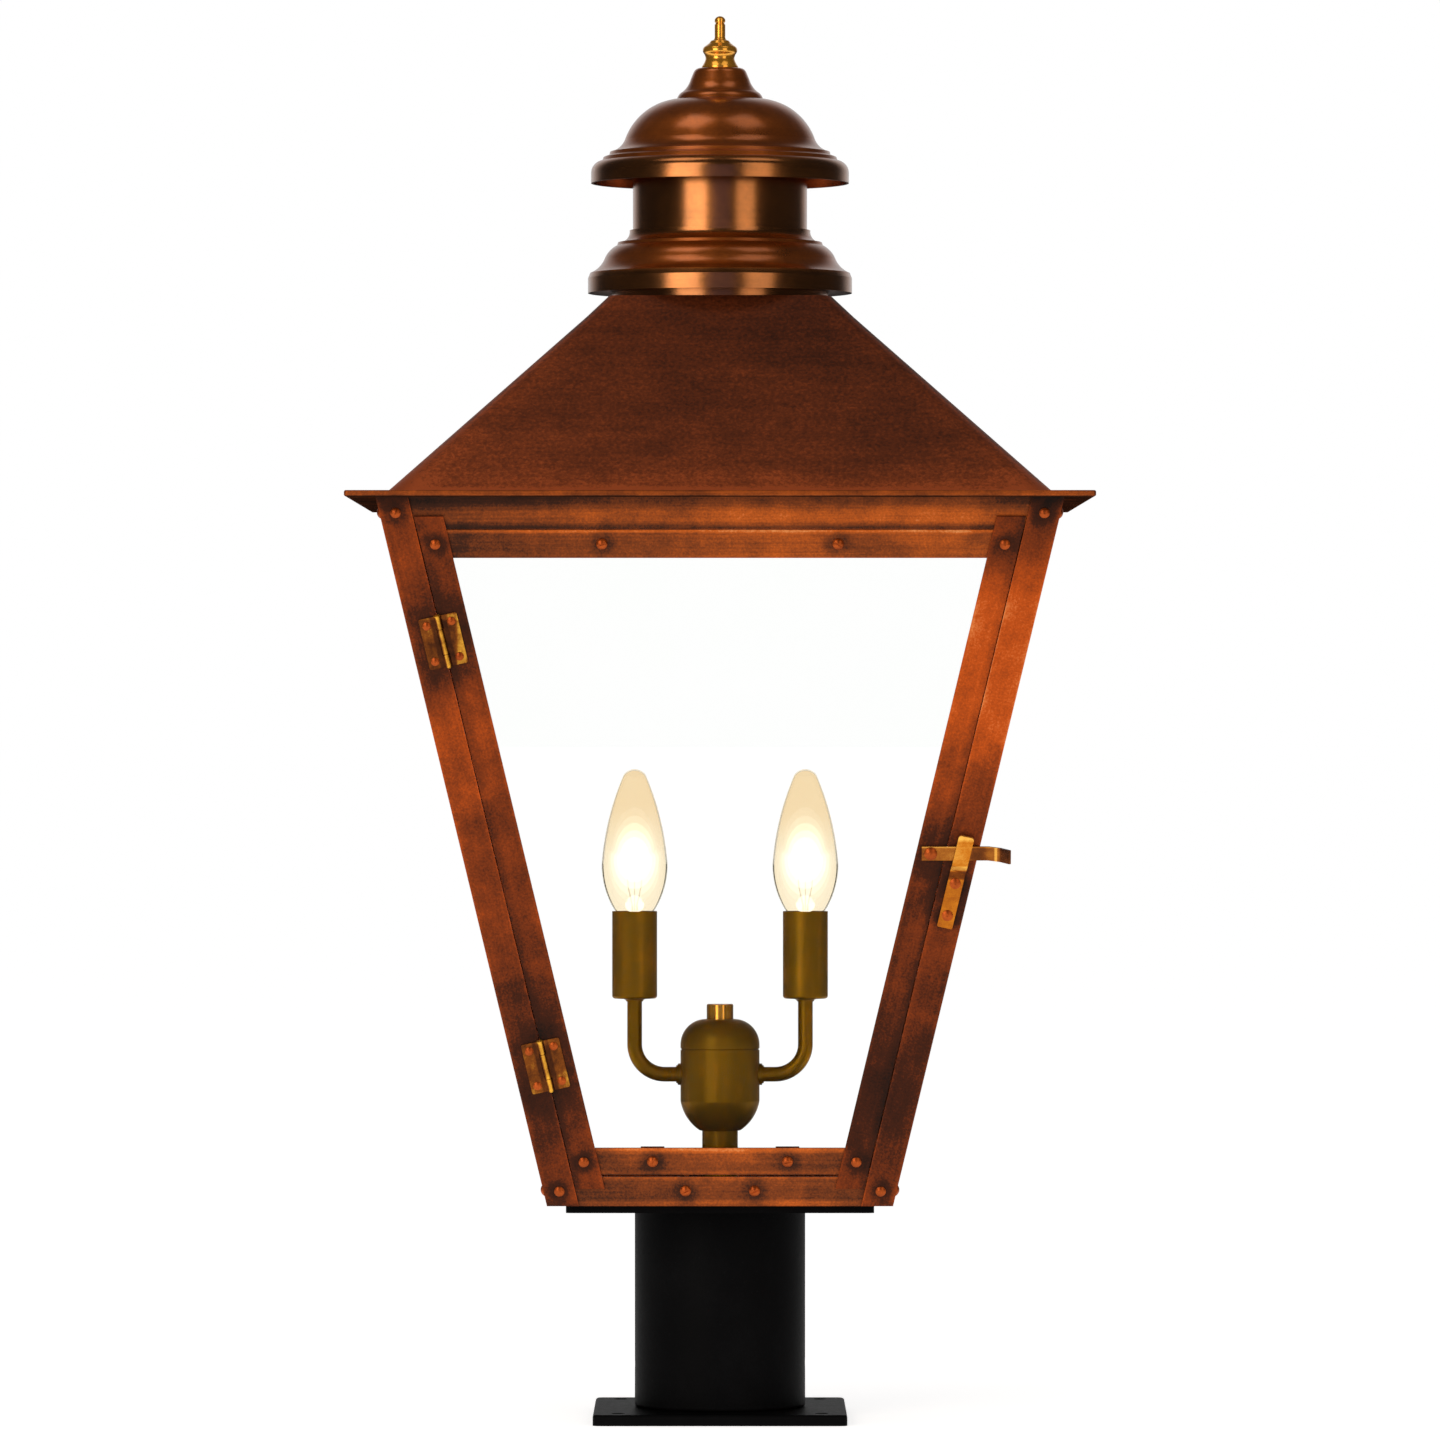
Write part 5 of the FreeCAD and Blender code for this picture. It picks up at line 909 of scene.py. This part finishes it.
class LANTERN_OT_set_screws(bpy.types.Operator):
    """Hexagon socket set screws in the sleeve"""
    bl_idname = "lantern.set_screws"
    bl_label = "Model the set screws"

    def execute(self, context):
        made = []
        low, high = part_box("set_screws")
        level = Vector((0, 0, (low[2] + high[2]) / 2))
        reach, length = high[0], 0.0050
        for angle in (0, 90, 180):
            turn = math.radians(angle)
            out = Vector((math.cos(turn), math.sin(turn), 0))
            centre = out * (reach - length / 2) + level
            deselect()
            bpy.ops.mesh.primitive_cylinder_add(
                vertices=48, radius=0.0030, depth=length, location=centre, rotation=(0, math.pi / 2, turn))
            screw = settled()
            pick(screw, lambda face: abs(face.normal.dot(out)) > 0.9)
            bpy.ops.mesh.bevel(offset=0.0004, segments=3, affect="EDGES")
            bpy.ops.object.mode_set(mode="OBJECT")
            bpy.ops.mesh.primitive_cylinder_add(
                vertices=6, radius=0.00173, depth=0.0032, location=out * (reach - 0.0012) + level,
                rotation=(0, math.pi / 2, turn))
            key = context.object
            activate(screw)
            socket = screw.modifiers.new("socket", "BOOLEAN")
            socket.operation = "DIFFERENCE"
            socket.object = key
            bpy.ops.object.modifier_apply(modifier="socket")
            bpy.data.objects.remove(key)
            made.append(screw)
        screws = joined(made)
        finished(screws, "socket_set_screws", NODES["set_screws"].data.materials[0], "lantern")
        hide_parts("set_screws")
        return {"FINISHED"}


class LANTERN_OT_stage(bpy.types.Operator):
    """Floor, surroundings, lamps and camera"""
    bl_idname = "lantern.stage"
    bl_label = "Set the stage"

    def execute(self, context):
        studio = context.scene.lantern_studio
        deselect()
        bpy.ops.mesh.primitive_plane_add(size=240.0, location=(0, 0, 0))
        floor = context.object
        floor.name = "studio_floor"
        floor.data.materials.append(studio_floor())
        self.lamp("left_softbox", -32, 8, 2.2, (1.14, 1.8), studio.left_light, "#FFF3E4", 0.62)
        self.lamp("right_softbox", 34, 8, 2.2, (0.96, 1.8), studio.right_light, "#FFEFDC", 0.62)
        self.lamp("front_panel", 0, 4, 5.8, (2.7, 2.2), studio.front_light, "#A8A8FF", 0.55)
        self.lamp("overhead_left", -55, 64, 1.6, (0.7, 0.7), studio.top_light, "#FFF3E4", 0.6)
        self.lamp("overhead_right", 55, 64, 1.6, (0.7, 0.7), studio.top_light * 0.6, "#FFF3E4", 0.6)
        self.room(context.scene, studio)
        self.camera(context.scene, studio)
        context.scene.view_settings.view_transform = "Standard"
        # enough for all the shells of light round both filaments
        context.scene.cycles.transparent_max_bounces = 24
        return {"FINISHED"}

    def lamp(self, name, azimuth, elevation, away, size, brightness, colour, height):
        """A rectangular lamp that faces the lantern; its brightness is that of its face."""
        around, up = math.radians(azimuth), math.radians(elevation)
        out = Vector((math.sin(around) * math.cos(up), -math.cos(around) * math.cos(up), math.sin(up)))
        bpy.ops.object.light_add(type="AREA", location=Vector((0, 0, height)) + out * away,
                                 rotation=out.to_track_quat("Z", "Y").to_euler())
        lamp = bpy.context.object
        lamp.name = name
        lamp.data.shape = "RECTANGLE"
        lamp.data.size, lamp.data.size_y = size
        lamp.data.color = linear(colour)[:3]
        lamp.data.energy = brightness * math.pi * size[0] * size[1]
        lamp.visible_camera = False

    def room(self, scene, studio):
        """White to the eye and through glass, a dark studio with a white sweep behind for reflections."""
        world = bpy.data.worlds.new("studio")
        scene.world = world
        world.use_nodes = True
        tree = world.node_tree
        tree.nodes.clear()
        seen, shiny, _ = sight_lines(tree)
        heading = add(tree, "ShaderNodeTexCoord", output="Generated")
        backward = add(tree, "ShaderNodeSeparateXYZ", (heading,), 1)
        sweep = add(tree, "ShaderNodeMapRange", (backward, 0.65, 1.0, studio.dark_room, 0.7),
                    interpolation_type="SMOOTHSTEP")
        other = add(tree, "ShaderNodeMix", {0: shiny, 2: studio.soft_light, 3: sweep})
        strength = add(tree, "ShaderNodeMix", {0: seen, 2: other, 3: 1.0})
        sky = add(tree, "ShaderNodeBackground", {"Color": paint(1.0), "Strength": strength})
        add(tree, "ShaderNodeOutputWorld", {"Surface": sky})
        world.cycles.sampling_method = "NONE"

    def camera(self, scene, studio):
        """A long lens square on to the door, at the height of the glass."""
        bpy.ops.object.camera_add(location=(0, -studio.eye_distance, studio.eye_height),
                                  rotation=(math.pi / 2, 0, 0))
        eye = bpy.context.object
        eye.data.sensor_width = 36.0
        eye.data.lens = 36.0 * studio.eye_distance / studio.view_width
        eye.data.clip_end = 600.0
        scene.camera = eye


STEPS = (LANTERN_OT_frame_finish, LANTERN_OT_roof_finish, LANTERN_OT_brass_finish, LANTERN_OT_base_finish,
         LANTERN_OT_glazing, LANTERN_OT_bulbs, LANTERN_OT_set_screws, LANTERN_OT_stage)


class LANTERN_PT_steps(bpy.types.Panel):
    """The lantern's finishing steps and settings"""
    bl_idname = "LANTERN_PT_steps"
    bl_label = "Lantern"
    bl_space_type = "VIEW_3D"
    bl_region_type = "UI"
    bl_category = "Lantern"

    def draw(self, context):
        for step in STEPS:
            self.layout.operator(step.bl_idname)
        for group in GROUPS:
            settings = getattr(context.scene, group)
            for name in settings.__annotations__:
                self.layout.prop(settings, name)


GROUPS = {"lantern_patina": PatinaColours, "lantern_bulbs": BulbSizes, "lantern_studio": StudioSettings}
CLASSES = (*GROUPS.values(), *STEPS, LANTERN_PT_steps)


def register():
    for item in CLASSES:
        bpy.utils.register_class(item)
    for name, group in GROUPS.items():
        setattr(bpy.types.Scene, name, bpy.props.PointerProperty(type=group))


def unregister():
    for name in GROUPS:
        delattr(bpy.types.Scene, name)
    for item in reversed(CLASSES):
        bpy.utils.unregister_class(item)


def main():
    register()
    bpy.ops.lantern.frame_finish()
    bpy.ops.lantern.roof_finish()
    bpy.ops.lantern.brass_finish()
    bpy.ops.lantern.base_finish()
    bpy.ops.lantern.glazing()
    bpy.ops.lantern.bulbs()
    bpy.ops.lantern.set_screws()
    bpy.ops.lantern.stage()


if __name__ == "__main__":
    main()
